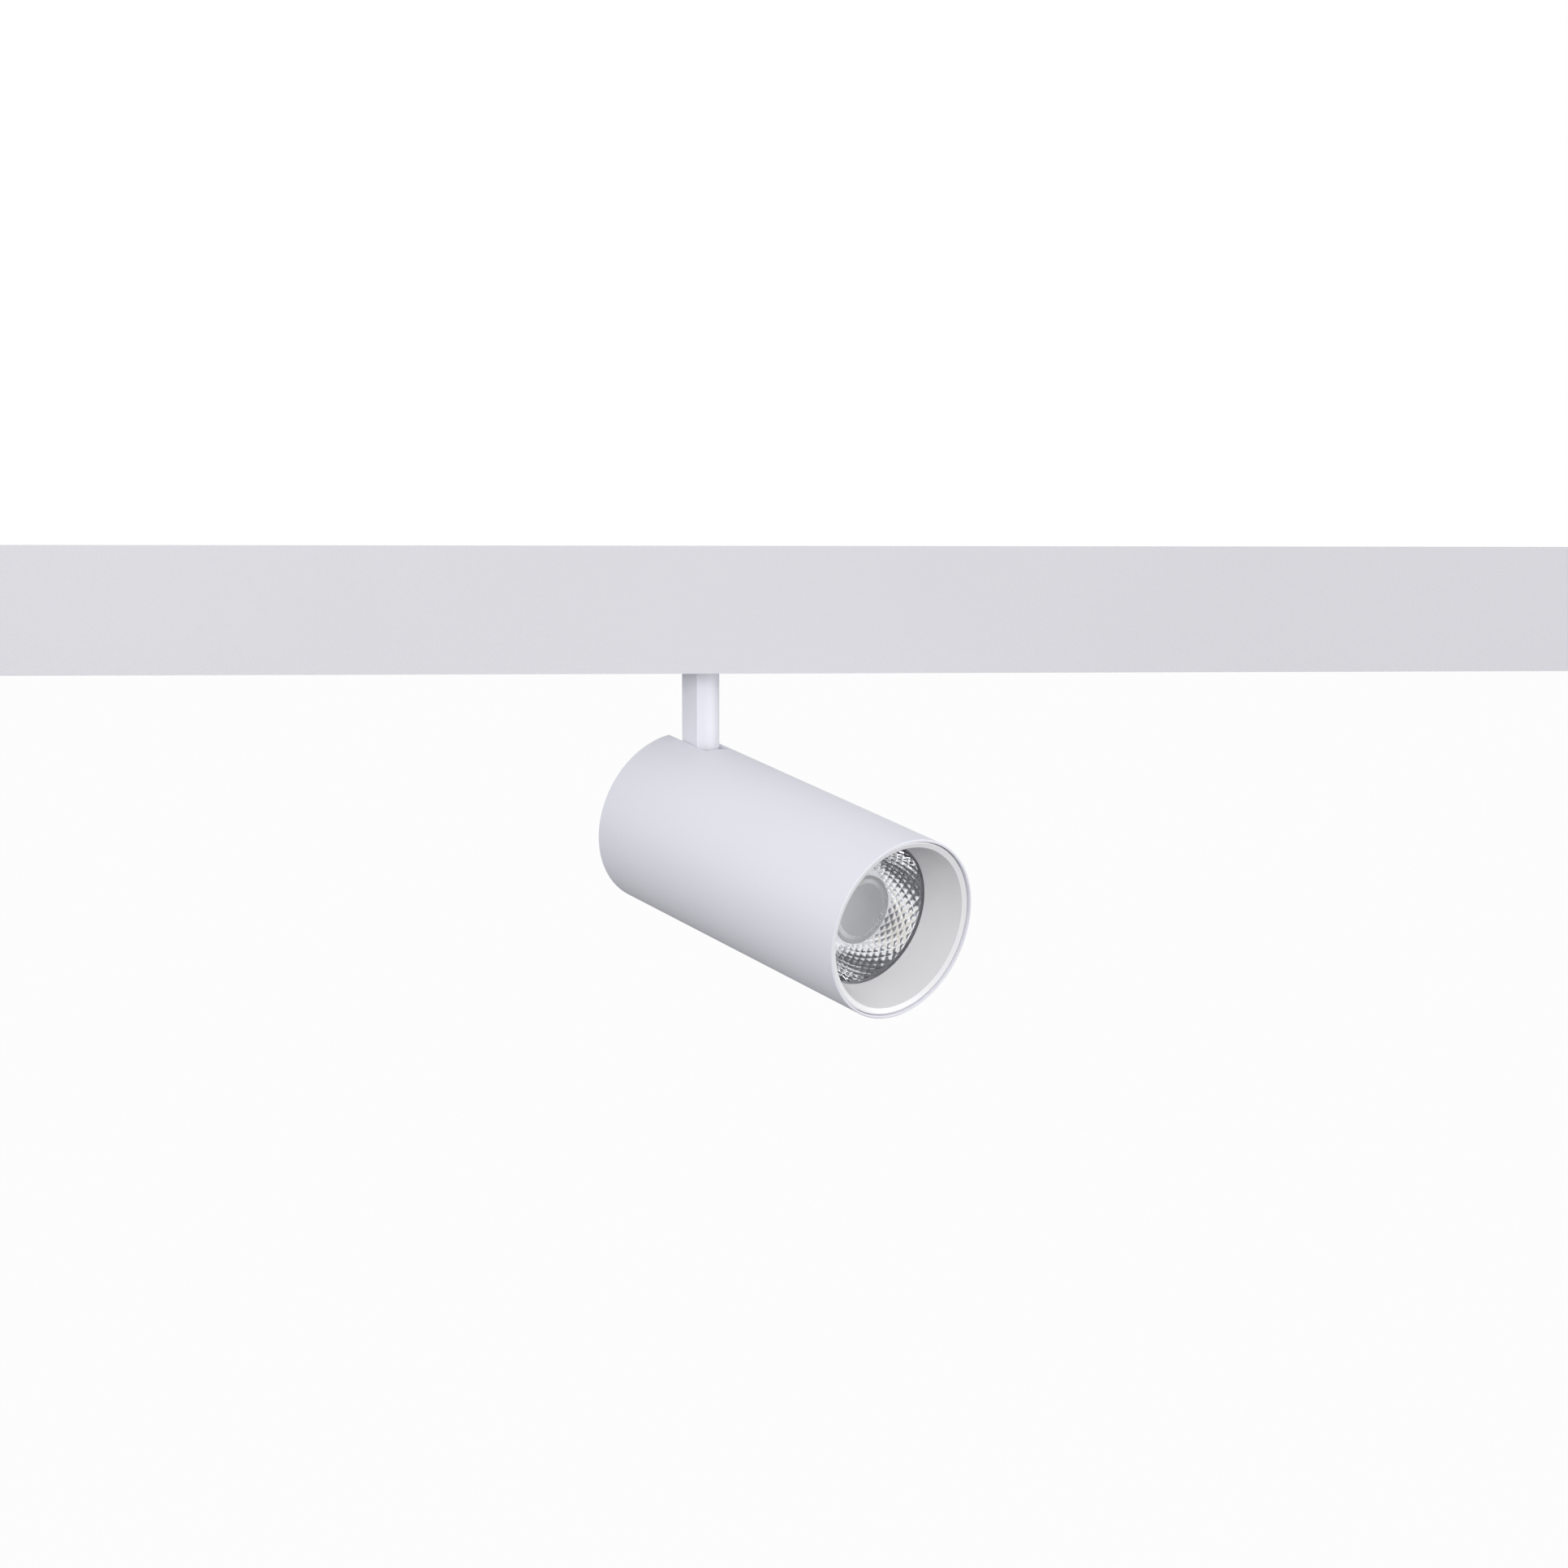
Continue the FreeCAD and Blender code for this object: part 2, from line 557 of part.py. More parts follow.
def magnets():
    blocks = []
    for side in (-1, 1):
        x = side * MAGNET_PLACE
        half_x = MAGNET_LENGTH / 2
        half_y = MAGNET_WIDTH / 2
        blocks.append(block(x - half_x, x + half_x, -half_y, half_y, MAGNET_SEAT_Z, ADAPTER_TOP_Z))
    return Part.makeCompound(blocks)


def driver_board():
    end = LID_BOSS_X - LID_BOSS_WIDTH / 2 - SLIDE
    half_y = INSIDE_Y - GAP
    board = block(-end, end, -half_y, half_y, BOARD_Z, BOARD_TOP_Z)
    return board.cut(rod(LEAD_R + SLIDE, (0, 0, BOARD_Z), (0, 0, BOARD_TOP_Z)))


def driver_inductor():
    half = INDUCTOR_SIZE / 2
    x = INDUCTOR_PLACE
    core = block(x - half, x + half, -half, half, BOARD_TOP_Z, BOARD_TOP_Z + INDUCTOR_HEIGHT)
    edges = [e for e in core.Edges if abs(e.Vertexes[0].Z - e.Vertexes[1].Z) > GAP]
    return core.makeFillet(INDUCTOR_EDGE_R, edges)


def driver_capacitors():
    cans = []
    for x in CAPACITOR_PLACES:
        can = rod(CAPACITOR_R, (x, 0, BOARD_TOP_Z), (x, 0, BOARD_TOP_Z + CAPACITOR_HEIGHT))
        crown = [e for e in can.Edges if e.Closed and e.CenterOfMass.z > BOARD_TOP_Z + GAP]
        cans.append(can.makeFillet(CAPACITOR_EDGE_R, crown))
    return Part.makeCompound(cans)


def driver_chips():
    chips = []
    for x, y, length, width, height in CHIPS:
        chips.append(block(x - length / 2, x + length / 2, y - width / 2, y + width / 2,
                           BOARD_TOP_Z, BOARD_TOP_Z + height))
    return Part.makeCompound(chips)


def contact_block():
    half = INSIDE_Y - GAP
    top = min(-CONDUCTOR_DEPTHS[0] + CONTACT_CROWN, MAGNET_SEAT_Z - MAGNET_RIB - GAP)
    low = PIN_PLACES[1] - CONTACT_MARGIN
    high = PIN_PLACES[0] + CONTACT_MARGIN
    body = block(low, high, -half, half, BOARD_TOP_Z, top)
    for depth in CONDUCTOR_DEPTHS:
        for place, side in zip(PIN_PLACES, (-1, 1)):
            wall = side * (half - CONTACT_WALL)
            mouth = rod(PIN_R + RUN, (place, wall, -depth), (place, side * half, -depth))
            bore = rod(PIN_HEAD_R + RUN, (place, -wall, -depth), (place, wall, -depth))
            body = body.cut([mouth, bore])
    return body


def contact_pins_front():
    pins = []
    x = PIN_PLACES[0]
    nose_y = -LINER_Y - CONDUCTOR_RECESS + GAP + PIN_R
    for depth in CONDUCTOR_DEPTHS:
        shank = rod(PIN_R, (x, -PIN_ROOT_Y, -depth), (x, nose_y, -depth))
        nose = Part.makeSphere(PIN_R, Vector(x, nose_y, -depth))
        head = rod(PIN_HEAD_R, (x, -PIN_ROOT_Y + PIN_HEAD, -depth), (x, -PIN_ROOT_Y, -depth))
        pins.append(head.fuse([shank, nose]).removeSplitter())
    return Part.makeCompound(pins)


def contact_springs_front():
    springs = []
    start = -PIN_ROOT_Y + PIN_HEAD + SPRING_WIRE_R + GAP
    end = INSIDE_Y - GAP - CONTACT_WALL - SPRING_WIRE_R
    radius = PIN_HEAD_R - SPRING_WIRE_R - GAP
    for depth in CONDUCTOR_DEPTHS:
        springs.append(coil_y(radius, PIN_PLACES[0], -depth, start, end, PIN_SPRING_TURNS))
    return Part.makeCompound(springs)


def moved_to_rear(shape):
    """The front contact pieces, mirrored to the rear pair's place."""
    placed = mirrored_y(shape)
    placed.translate(Vector(PIN_PLACES[1] - PIN_PLACES[0], 0, 0))
    return placed


def latch_right():
    x = LATCH_PLACE
    low = FLOOR_Z + GAP
    high = low + LATCH_THICK
    half = LATCH_WIDTH / 2
    plate = block(x - half, x + half, -LATCH_TAIL, FOOT_Y + LATCH_REACH, low, high)
    upstand = block(x - half, x + half, -LATCH_TAIL, -LATCH_TAIL + UPSTAND_THICK, high, high + UPSTAND_HEIGHT)
    half -= NUB_INSET
    nub_z = ADAPTER_BOTTOM_Z + GAP
    nub = block(x - half, x + half, NUB_START, NUB_START + NUB_LENGTH, nub_z, low)
    first = NUB_START + NUB_LENGTH / 2 - NUB_GROOVE * 2.5
    grooves = [block(x - half, x + half, first + y, first + y + NUB_GROOVE, nub_z, nub_z + NUB_GROOVE_DEPTH)
               for y in (0, 2 * NUB_GROOVE, 4 * NUB_GROOVE)]
    return plate.fuse([upstand, nub]).cut(grooves).removeSplitter()


def latch_spring_right():
    z = FLOOR_Z + GAP + LATCH_THICK + LATCH_SPRING_R / 3
    start = -INSIDE_FOOT_Y + SPRING_WIRE_R + GAP
    end = -LATCH_TAIL - SPRING_WIRE_R - GAP
    return coil_y(LATCH_SPRING_R, LATCH_PLACE, z, start, end, LATCH_SPRING_TURNS)


def swivel_bush():
    outer = STEM_R + BUSH_WALL
    sleeve = pipe(outer, STEM_R + RUN, (0, 0, ADAPTER_BOTTOM_Z), (0, 0, FLOOR_Z))
    flange = pipe(BUSH_FLANGE_R, STEM_R + RUN, (0, 0, FLOOR_Z), (0, 0, BUSH_TOP_Z - GAP))
    return sleeve.fuse(flange).removeSplitter()


def lead_upper():
    bend = LEAD_TOP_BEND
    foot = BOARD_TOP_Z
    inset = bend * (1 - math.sqrt(0.5))
    down = Part.LineSegment(Vector(0, 0, STEM_TOP_Z), Vector(0, 0, foot)).toShape()
    arc = Part.Arc(
        Vector(0, 0, foot),
        Vector(inset, 0, foot + bend - inset),
        Vector(bend, 0, foot + bend),
    ).toShape()
    along = Part.LineSegment(Vector(bend, 0, foot + bend), Vector(2 * bend, 0, foot + bend)).toShape()
    return swept(Part.Wire([down, arc, along]), LEAD_R - HOLE_PLAY)


def swept(wire, radius):
    """A round tube of the given radius along a wire."""
    start = wire.Edges[0]
    point = start.valueAt(start.FirstParameter)
    heading = start.tangentAt(start.FirstParameter)
    ring = Part.Wire(Part.makeCircle(radius, point, heading))
    return wire.makePipeShell([ring], True, False)


def lead_terminal():
    x = 2 * LEAD_TOP_BEND
    half = TERMINAL_WIDTH / 2
    return block(x, x + TERMINAL_THICK, -half, half, BOARD_TOP_Z, BOARD_TOP_Z + TERMINAL_HEIGHT)


# ---- arm ----------------------------------------------------------------------------------

def arm_outline(z):
    """The arm's section: a flat back, flat sides and a rounded nose."""
    half = ARM_WIDTH / 2
    corners = [Vector(ARM_SHOULDER, -half, z), Vector(-ARM_SETBACK, -half, z),
               Vector(-ARM_SETBACK, half, z), Vector(ARM_SHOULDER, half, z)]
    edges = [Part.LineSegment(a, b).toShape() for a, b in zip(corners, corners[1:])]
    nose = Part.Arc(corners[3], Vector(ARM_FRONT, 0, z), corners[0]).toShape()
    return Part.Wire(edges + [nose])


def arm():
    eye_r = ARM_SETBACK
    half = ARM_WIDTH
    bar = Part.Face(arm_outline(HINGE_Z - eye_r)).extrude(Vector(0, 0, ARM_TOP_Z - HINGE_Z + eye_r))
    below = block(-2 * eye_r, 2 * eye_r, -half, half, HINGE_Z - 2 * eye_r, HINGE_Z)
    eye = rod(eye_r, (0, -half, HINGE_Z), (0, half, HINGE_Z))
    bar = bar.cut(below.cut(eye))
    bore_r = LEAD_R + SLIDE
    bore = rod(bore_r, (0, 0, LEAD_EXIT_Z), (0, 0, ARM_TOP_Z))
    mouth = rod(bore_r, (0, 0, LEAD_EXIT_Z), (2 * ARM_FRONT, 0, LEAD_EXIT_Z))
    elbow = Part.makeSphere(bore_r, Vector(0, 0, LEAD_EXIT_Z))
    socket = rod(STEM_R + FIT, (0, 0, STEM_FOOT_Z), (0, 0, ARM_TOP_Z))
    pin = rod(HINGE_R + RUN, (0, -half, HINGE_Z), (0, half, HINGE_Z))
    return bar.cut([bore, mouth, elbow, socket, pin]).removeSplitter()


def swivel_stem():
    return pipe(STEM_R, STEM_BORE_R, (0, 0, STEM_FOOT_Z + GAP), (0, 0, STEM_TOP_Z - GAP))


def stop_ring():
    ring = pipe(STOP_RING_R, STEM_R + FIT, (0, 0, WAVE_TOP_Z), (0, 0, RING_TOP_Z - GAP))
    tooth = sector(STOP_RING_R + STOP_TOOTH_REACH, STEM_R + BUSH_WALL, 0, STOP_TOOTH_ANGLE,
                   WAVE_TOP_Z, RING_TOP_Z - GAP)
    return ring.fuse(tooth).removeSplitter()


def wave_washer():
    return pipe(BUSH_FLANGE_R - WAVE_HEIGHT, STEM_R + FIT, (0, 0, BUSH_TOP_Z), (0, 0, WAVE_TOP_Z - GAP))


def swivel_nut():
    nut = hexagon(NUT_FLATS, 0, RING_TOP_Z, NUT_TOP_Z)
    return nut.cut(rod(STEM_R + FIT, (0, 0, RING_TOP_Z), (0, 0, NUT_TOP_Z)))


def lead_arm():
    top = Vector(0, 0, STEM_TOP_Z)
    bend = LEAD_BEND
    inset = bend * (1 - math.sqrt(0.5))
    turn = Vector(0, 0, LEAD_EXIT_Z + bend)
    middle = Vector(inset, 0, LEAD_EXIT_Z + inset)
    out = Vector(bend, 0, LEAD_EXIT_Z)
    end = Vector(ARM_FRONT, 0, LEAD_EXIT_Z)
    down = Part.LineSegment(top, turn).toShape()
    arc = Part.Arc(turn, middle, out).toShape()
    along = Part.LineSegment(out, end).toShape()
    return swept(Part.Wire([down, arc, along]), LEAD_R)


# ---- head, in its own frame: light along +X, tilt axis along Y through the origin -----------

def tube():
    lip_r = TUBE_R - LIP_WALL
    step_x = FRONT_X - LIP_DEPTH
    inner_edge = TUBE_EDGE / 2
    body = turned([
        (REAR_X, TUBE_INNER_R), (REAR_X, TUBE_R - TUBE_EDGE), (REAR_X + TUBE_EDGE, TUBE_R),
        (FRONT_X - TUBE_EDGE, TUBE_R), (FRONT_X, TUBE_R - TUBE_EDGE), (FRONT_X, lip_r + inner_edge),
        (FRONT_X - inner_edge, lip_r), (step_x, lip_r), (step_x, TUBE_INNER_R),
    ])
    slot = block(2 * REAR_X, SLOT_FRONT, -SLOT_HALF, SLOT_HALF, TUBE_R / 2, 2 * TUBE_R)
    corners = [e for e in slot.Edges
               if abs(e.Vertexes[0].Z - e.Vertexes[1].Z) > GAP and e.CenterOfMass.x > SLOT_FRONT - GAP]
    slot = slot.makeFillet(SLOT_CORNER_R, corners)
    grub = rod(GRUB_R, (GRUB_X, 0, -2 * TUBE_R), (GRUB_X, 0, -TUBE_INNER_R / 2))
    return body.cut([slot, grub])


def tube_grub_screw():
    end = -TUBE_R + GRUB_SET
    screw = rod(GRUB_R - FIT, (GRUB_X, 0, end), (GRUB_X, 0, end + GRUB_LENGTH))
    socket = hexagon(GRUB_KEY, 0, end - GAP, end + GRUB_KEY)
    socket.translate(Vector(GRUB_X, 0, 0))
    return screw.cut(socket)


def rear_cover():
    plate = rod(INSERT_R, (COVER_X, 0, 0), (COVER_FRONT_X, 0, 0))
    rim = [e for e in plate.Edges if e.CenterOfMass.x < COVER_X + GAP and e.Closed]
    plate = plate.makeChamfer(COVER_EDGE, rim)
    slot = block(COVER_X - GAP, COVER_FRONT_X + GAP, -SLOT_HALF, SLOT_HALF, -ARM_SETBACK - EYE_CLEAR, TUBE_R)
    cuts = [slot]
    hole_r = COVER_SCREW_R + HOLE_PLAY
    for side in (-1, 1):
        y = side * POST_PLACE
        cuts.append(rod(hole_r, (COVER_X, y, 0), (COVER_FRONT_X, y, 0)))
        cuts.append(Part.makeCone(COVER_SCREW_HEAD_R + GAP, hole_r, COVER_SCREW_HEAD,
                                  Vector(COVER_X, y, 0), Vector(1, 0, 0)))
    return plate.cut(cuts)


def rear_cover_screws():
    screws = []
    face = COVER_X + FIT
    for side in (-1, 1):
        y = side * POST_PLACE
        head = Part.makeCone(COVER_SCREW_HEAD_R, COVER_SCREW_R, COVER_SCREW_HEAD,
                             Vector(face, y, 0), Vector(1, 0, 0))
        shank = rod(COVER_SCREW_R, (face + COVER_SCREW_HEAD, y, 0), (COVER_FRONT_X + COVER_SCREW_GRIP, y, 0))
        socket = hexagon(COVER_SCREW_KEY, 0, -COVER_SCREW_HEAD, GAP)
        socket.rotate(Vector(0, 0, 0), Vector(0, 1, 0), 90)
        socket.translate(Vector(face + COVER_SCREW_HEAD, y, 0))
        screws.append(head.fuse(shank).cut(socket))
    return Part.makeCompound(screws)


def front_baffle():
    ring_r = TUBE_R - LIP_WALL - RING_GAP
    ring_x = FRONT_X - RING_RECESS
    inner_x = FRONT_X - RING_INNER_DEPTH
    end_x = FRONT_X - CONE_DEPTH
    flange_x = FRONT_X - LIP_DEPTH + GAP
    skirt_end = end_x + CONE_DEPTH - SKIRT_LENGTH
    slope = (RING_INNER_R - CONE_END_R) / (inner_x - end_x)
    back_r = CONE_END_R + CONE_WALL + slope * (skirt_end - end_x)
    corner = RING_EDGE_R * (1 - math.sqrt(0.5))
    return turned([
        (end_x, CONE_END_R), (inner_x, RING_INNER_R), (ring_x, ring_r - RING_EDGE_R),
        (ring_x - corner, ring_r - corner), (ring_x - RING_EDGE_R, ring_r), (flange_x, ring_r),
        (flange_x, INSERT_R), (skirt_end, INSERT_R), (skirt_end, back_r),
        (end_x, CONE_END_R + CONE_WALL),
    ])


def lens():
    outline = []
    depth = LENS_FLANGE_X - LENS_REAR_X
    for i in range(LENS_BOWL_STEPS + 1):
        share = i / LENS_BOWL_STEPS
        radius = LENS_BASE_R + (LENS_BODY_R - LENS_BASE_R) * share ** LENS_BOWL_POWER
        outline.append((LENS_REAR_X + depth * share, radius))
    pocket_x = LENS_REAR_X + LED_POCKET_DEPTH
    outline += [
        (LENS_FLANGE_X, LENS_FLANGE_R), (LENS_X, LENS_FLANGE_R), (LENS_X, 0),
        (pocket_x, 0), (pocket_x, LED_POCKET_END_R), (LENS_REAR_X, LED_POCKET_R),
    ]
    return turned(outline)


def lens_holder():
    outer = INSERT_R - GAP
    bore = LENS_FLANGE_R + GAP
    ledge_r = LENS_BODY_R + HOLE_PLAY
    ledge_x = LENS_FLANGE_X - GAP
    base_x = SINK_X + FIT
    foot_x = base_x + HOLDER_FOOT
    foot_r = COB_HOLDER_R + SLIDE
    wall_r = outer - HOLDER_WALL
    return turned([
        (base_x, foot_r), (base_x, outer), (LENS_X, outer), (LENS_X, bore),
        (ledge_x, bore), (ledge_x, ledge_r),
        (ledge_x - HOLDER_LEDGE, ledge_r), (ledge_x - 2 * HOLDER_LEDGE, wall_r),
        (foot_x, wall_r), (foot_x, foot_r),
    ])


def thermal_pad():
    half = COB_SIZE / 2
    return block(SINK_X + FIT / 2, COB_X - FIT / 2, -half, half, -half, half)


def cob_board():
    half = COB_SIZE / 2
    return block(COB_X, COB_TOP_X, -half, half, -half, half)


def cob_phosphor():
    return rod(COB_EMITTER_R, (COB_TOP_X, 0, 0), (COB_TOP_X + COB_EMITTER_THICK, 0, 0))


def cob_holder():
    half = COB_SIZE / 2 + FIT
    base = SINK_X + FIT
    face = base + COB_HOLDER_THICK
    disc = rod(COB_HOLDER_R, (base, 0, 0), (face, 0, 0))
    nest = block(base, COB_TOP_X + FIT, -half, half, -half, half)
    cuts = [nest, rod(COB_WINDOW_R, (base, 0, 0), (face, 0, 0))]
    for side in (-1, 1):
        y = side * COB_SCREW_PLACE
        cuts.append(rod(COB_SCREW_R + HOLE_PLAY, (base, y, 0), (face, y, 0)))
        cuts.append(rod(COB_SCREW_HEAD_R + SLIDE, (face - COB_SCREW_HEAD - GAP, y, 0), (face, y, 0)))
    return disc.cut(cuts)


def cob_screws():
    screws = []
    seat = SINK_X + COB_HOLDER_THICK - COB_SCREW_HEAD
    top = seat + COB_SCREW_HEAD
    for side in (-1, 1):
        y = side * COB_SCREW_PLACE
        head = rod(COB_SCREW_HEAD_R, (seat, y, 0), (top, y, 0))
        shank = rod(COB_SCREW_R, (SINK_BACK_X + 2 * DRILL_END, y, 0), (seat, y, 0))
        reach = COB_SCREW_HEAD_R / 2
        cross = block(seat + COB_SCREW_HEAD / 2, top, y - reach, y + reach, -SCREW_CROSS / 2, SCREW_CROSS / 2)
        screws.append(head.fuse(shank).cut(cross))
    return Part.makeCompound(screws)


def heat_sink():
    base = rod(INSERT_R, (SINK_BACK_X, 0, 0), (SINK_X, 0, 0))
    into_base = SINK_BACK_X + SINK_BASE_THICK / 2
    round_bar = rod(INSERT_R - FIN_RELIEF, (FIN_BACK_X, 0, 0), (into_base, 0, 0))
    fins = []
    count = int(INSERT_R / FIN_PITCH)
    for i in range(-count, count + 1):
        y = i * FIN_PITCH
        half = FIN_THICK / 2
        fins.append(block(FIN_BACK_X, into_base, y - half, y + half, -TUBE_R, TUBE_R).common(round_bar))
    bosses = []
    drilled = []
    for side in (-1, 1):
        y = side * BRACKET_SCREW_PLACE
        bosses.append(rod(BOSS_R, (FIN_BACK_X, y, 0), (into_base, y, 0)))
        drilled.append(rod(BRACKET_SCREW_R + FIT, (FIN_BACK_X, y, 0),
                           (FIN_BACK_X + BRACKET_SCREW_GRIP + DRILL_END, y, 0)))
        y = side * POST_PLACE
        bosses.append(rod(POST_R, (COVER_FRONT_X, y, 0), (into_base, y, 0)))
        drilled.append(rod(COVER_SCREW_R + FIT, (COVER_FRONT_X, y, 0),
                           (COVER_FRONT_X + COVER_SCREW_GRIP + DRILL_END, y, 0)))
        y = side * COB_SCREW_PLACE
        drilled.append(rod(COB_SCREW_R + FIT, (SINK_BACK_X + DRILL_END, y, 0), (SINK_X, y, 0)))
    sink = base.fuse(fins).fuse(bosses).removeSplitter()
    drilled.append(rod(LEAD_HOLE_R, (FIN_BACK_X, 0, LEAD_HOLE_Z), (SINK_X, 0, LEAD_HOLE_Z)))
    grub_end = -TUBE_R + GRUB_SET + GRUB_LENGTH
    drilled.append(rod(GRUB_R, (GRUB_X, 0, -2 * INSERT_R), (GRUB_X, 0, grub_end + GAP)))
    return sink.cut(drilled).removeSplitter()


def hinge_bracket():
    plate_y = BRACKET_PLATE_HALF
    plate = block(PLATE_BACK_X, FIN_BACK_X, -plate_y, plate_y, -CHEEK_R, CHEEK_R)
    cheeks = []
    for side in (-1, 1):
        low, high = sorted((side * CHEEK_Y, side * CHEEK_OUTER_Y))
        cheeks.append(block(0, FIN_BACK_X, low, high, -CHEEK_R, CHEEK_R))
        cheeks.append(rod(CHEEK_R, (0, low, 0), (0, high, 0)))
    cuts = [rod(HINGE_R + FIT, (0, -CHEEK_OUTER_Y, 0), (0, CHEEK_OUTER_Y, 0))]
    for side in (-1, 1):
        y = side * BRACKET_SCREW_PLACE
        cuts.append(rod(BRACKET_SCREW_R + HOLE_PLAY, (PLATE_BACK_X, y, 0), (FIN_BACK_X, y, 0)))
    return plate.fuse(cheeks).cut(cuts).removeSplitter()


def bracket_screws():
    screws = []
    under = PLATE_BACK_X - GAP
    for side in (-1, 1):
        y = side * BRACKET_SCREW_PLACE
        head = rod(BRACKET_SCREW_HEAD_R, (under - BRACKET_SCREW_HEAD, y, 0), (under, y, 0))
        shank = rod(BRACKET_SCREW_R, (under, y, 0), (FIN_BACK_X + BRACKET_SCREW_GRIP, y, 0))
        screws.append(head.fuse(shank))
    return Part.makeCompound(screws)


def hinge_screw():
    under = CHEEK_OUTER_Y + GAP
    top = under + HINGE_HEAD
    head = rod(HINGE_HEAD_R, (0, under, 0), (0, top, 0))
    crown = [e for e in head.Edges if e.Closed and e.CenterOfMass.y > top - GAP]
    head = head.makeFillet(HINGE_HEAD_EDGE_R, crown)
    shank = rod(HINGE_R, (0, -under - HINGE_NUT_THICK - SLIDE, 0), (0, under, 0))
    socket = hexagon(HINGE_KEY, 0, 0, HINGE_HEAD)
    socket.rotate(Vector(0, 0, 0), Vector(1, 0, 0), -90)
    socket.translate(Vector(0, under + HINGE_HEAD / 2, 0))
    return head.fuse(shank).cut(socket)


def hinge_nut():
    nut = hexagon(HINGE_NUT_FLATS, 0, 0, HINGE_NUT_THICK)
    nut = nut.cut(rod(HINGE_R + FIT, (0, 0, 0), (0, 0, HINGE_NUT_THICK)))
    nut.rotate(Vector(0, 0, 0), Vector(1, 0, 0), 90)
    nut.translate(Vector(0, -CHEEK_OUTER_Y - GAP, 0))
    return nut


def friction_washers():
    washers = []
    for side in (-1, 1):
        near = side * (ARM_WIDTH / 2 + GAP / 2)
        far = side * (ARM_WIDTH / 2 + GAP / 2 + WASHER_THICK)
        washers.append(pipe(WASHER_R, HINGE_R + FIT, (0, near, 0), (0, far, 0)))
    return Part.makeCompound(washers)


def lead_head():
    """The lead's slack from the arm's mouth through the heat sink to the LED's holder."""
    tilt = math.radians(TILT_ANGLE)
    out = LEAD_EXIT_Z - HINGE_Z
    heading = Vector(math.cos(tilt), 0, math.sin(tilt))
    rise = Vector(-math.sin(tilt), 0, math.cos(tilt))
    start = rise * out + heading * ARM_FRONT
    level = Vector(1, 0, 0)
    entry = Vector(FIN_BACK_X, 0, LEAD_HOLE_Z)
    end = Vector(SINK_X, 0, LEAD_HOLE_Z)
    meet = (LEAD_HOLE_Z - start.z) / heading.z
    corner = start + heading * meet
    run = min(meet, (entry - corner).Length) * 0.8
    before = corner - heading * run
    after = corner + level * run
    sagitta = run * math.tan(tilt / 4)
    middle = (before + after) * 0.5
    toward = (corner - middle).normalize()
    arc = Part.Arc(before, middle + toward * sagitta, after).toShape()
    first = Part.LineSegment(start, before).toShape()
    last = Part.LineSegment(after, end).toShape()
    return swept(Part.Wire([first, arc, last]), LEAD_R)


# ---- write every sub-part -------------------------------------------------------------------

PARTS = {
    "track_profile": track_profile(),
    "steel_strip": steel_strip(),
    "liner_front": liner_front(),
    "liner_rear": mirrored_y(liner_front()),
    "conductors_front": conductors_front(),
    "conductors_rear": mirrored_y(conductors_front()),
    "end_cap_right": end_cap_right(),
    "end_cap_left": mirrored_x(end_cap_right()),
    "end_cap_screws": end_cap_screws(),
    "feed_block": feed_block(),
    "adapter_housing": adapter_housing(),
    "adapter_lid": adapter_lid(),
    "lid_screws": lid_screws(),
    "magnets": magnets(),
    "driver_board": driver_board(),
    "driver_inductor": driver_inductor(),
    "driver_capacitors": driver_capacitors(),
    "driver_chips": driver_chips(),
    "lead_terminal": lead_terminal(),
    "contact_block": contact_block(),
    "contact_pins_front": contact_pins_front(),
    "contact_pins_rear": moved_to_rear(contact_pins_front()),
    "contact_springs_front": contact_springs_front(),
    "contact_springs_rear": moved_to_rear(contact_springs_front()),
    "latch_right": latch_right(),
    "latch_left": mirrored_x(latch_right()),
    "latch_spring_right": latch_spring_right(),
    "latch_spring_left": mirrored_x(latch_spring_right()),
    "swivel_bush": swivel_bush(),
    "lead_upper": lead_upper(),
}

ARM_PARTS = {
    "arm": arm(),
    "swivel_stem": swivel_stem(),
    "stop_ring": stop_ring(),
    "wave_washer": wave_washer(),
    "swivel_nut": swivel_nut(),
    "lead_arm": lead_arm(),
}

HEAD_PARTS = {
    "tube": tube(),
    "tube_grub_screw": tube_grub_screw(),
    "rear_cover": rear_cover(),
    "rear_cover_screws": rear_cover_screws(),
    "front_baffle": front_baffle(),
    "lens": lens(),
    "lens_holder": lens_holder(),
    "thermal_pad": thermal_pad(),
    "cob_board": cob_board(),
    "cob_phosphor": cob_phosphor(),
    "cob_holder": cob_holder(),
    "cob_screws": cob_screws(),
    "heat_sink": heat_sink(),
    "hinge_bracket": hinge_bracket(),
    "bracket_screws": bracket_screws(),
    "hinge_screw": hinge_screw(),
    "hinge_nut": hinge_nut(),
    "friction_washers": friction_washers(),
    "lead_head": lead_head(),
}

PARTS.update({name: panned(shape) for name, shape in ARM_PARTS.items()})
PARTS.update({name: aimed(shape) for name, shape in HEAD_PARTS.items()})

os.makedirs("parts", exist_ok=True)
for name, shape in PARTS.items():
    print(name, len(shape.Solids), round(shape.Volume, 1), shape.isValid())
    shape.exportStep("parts/" + name + ".step")
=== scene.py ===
import json
import math

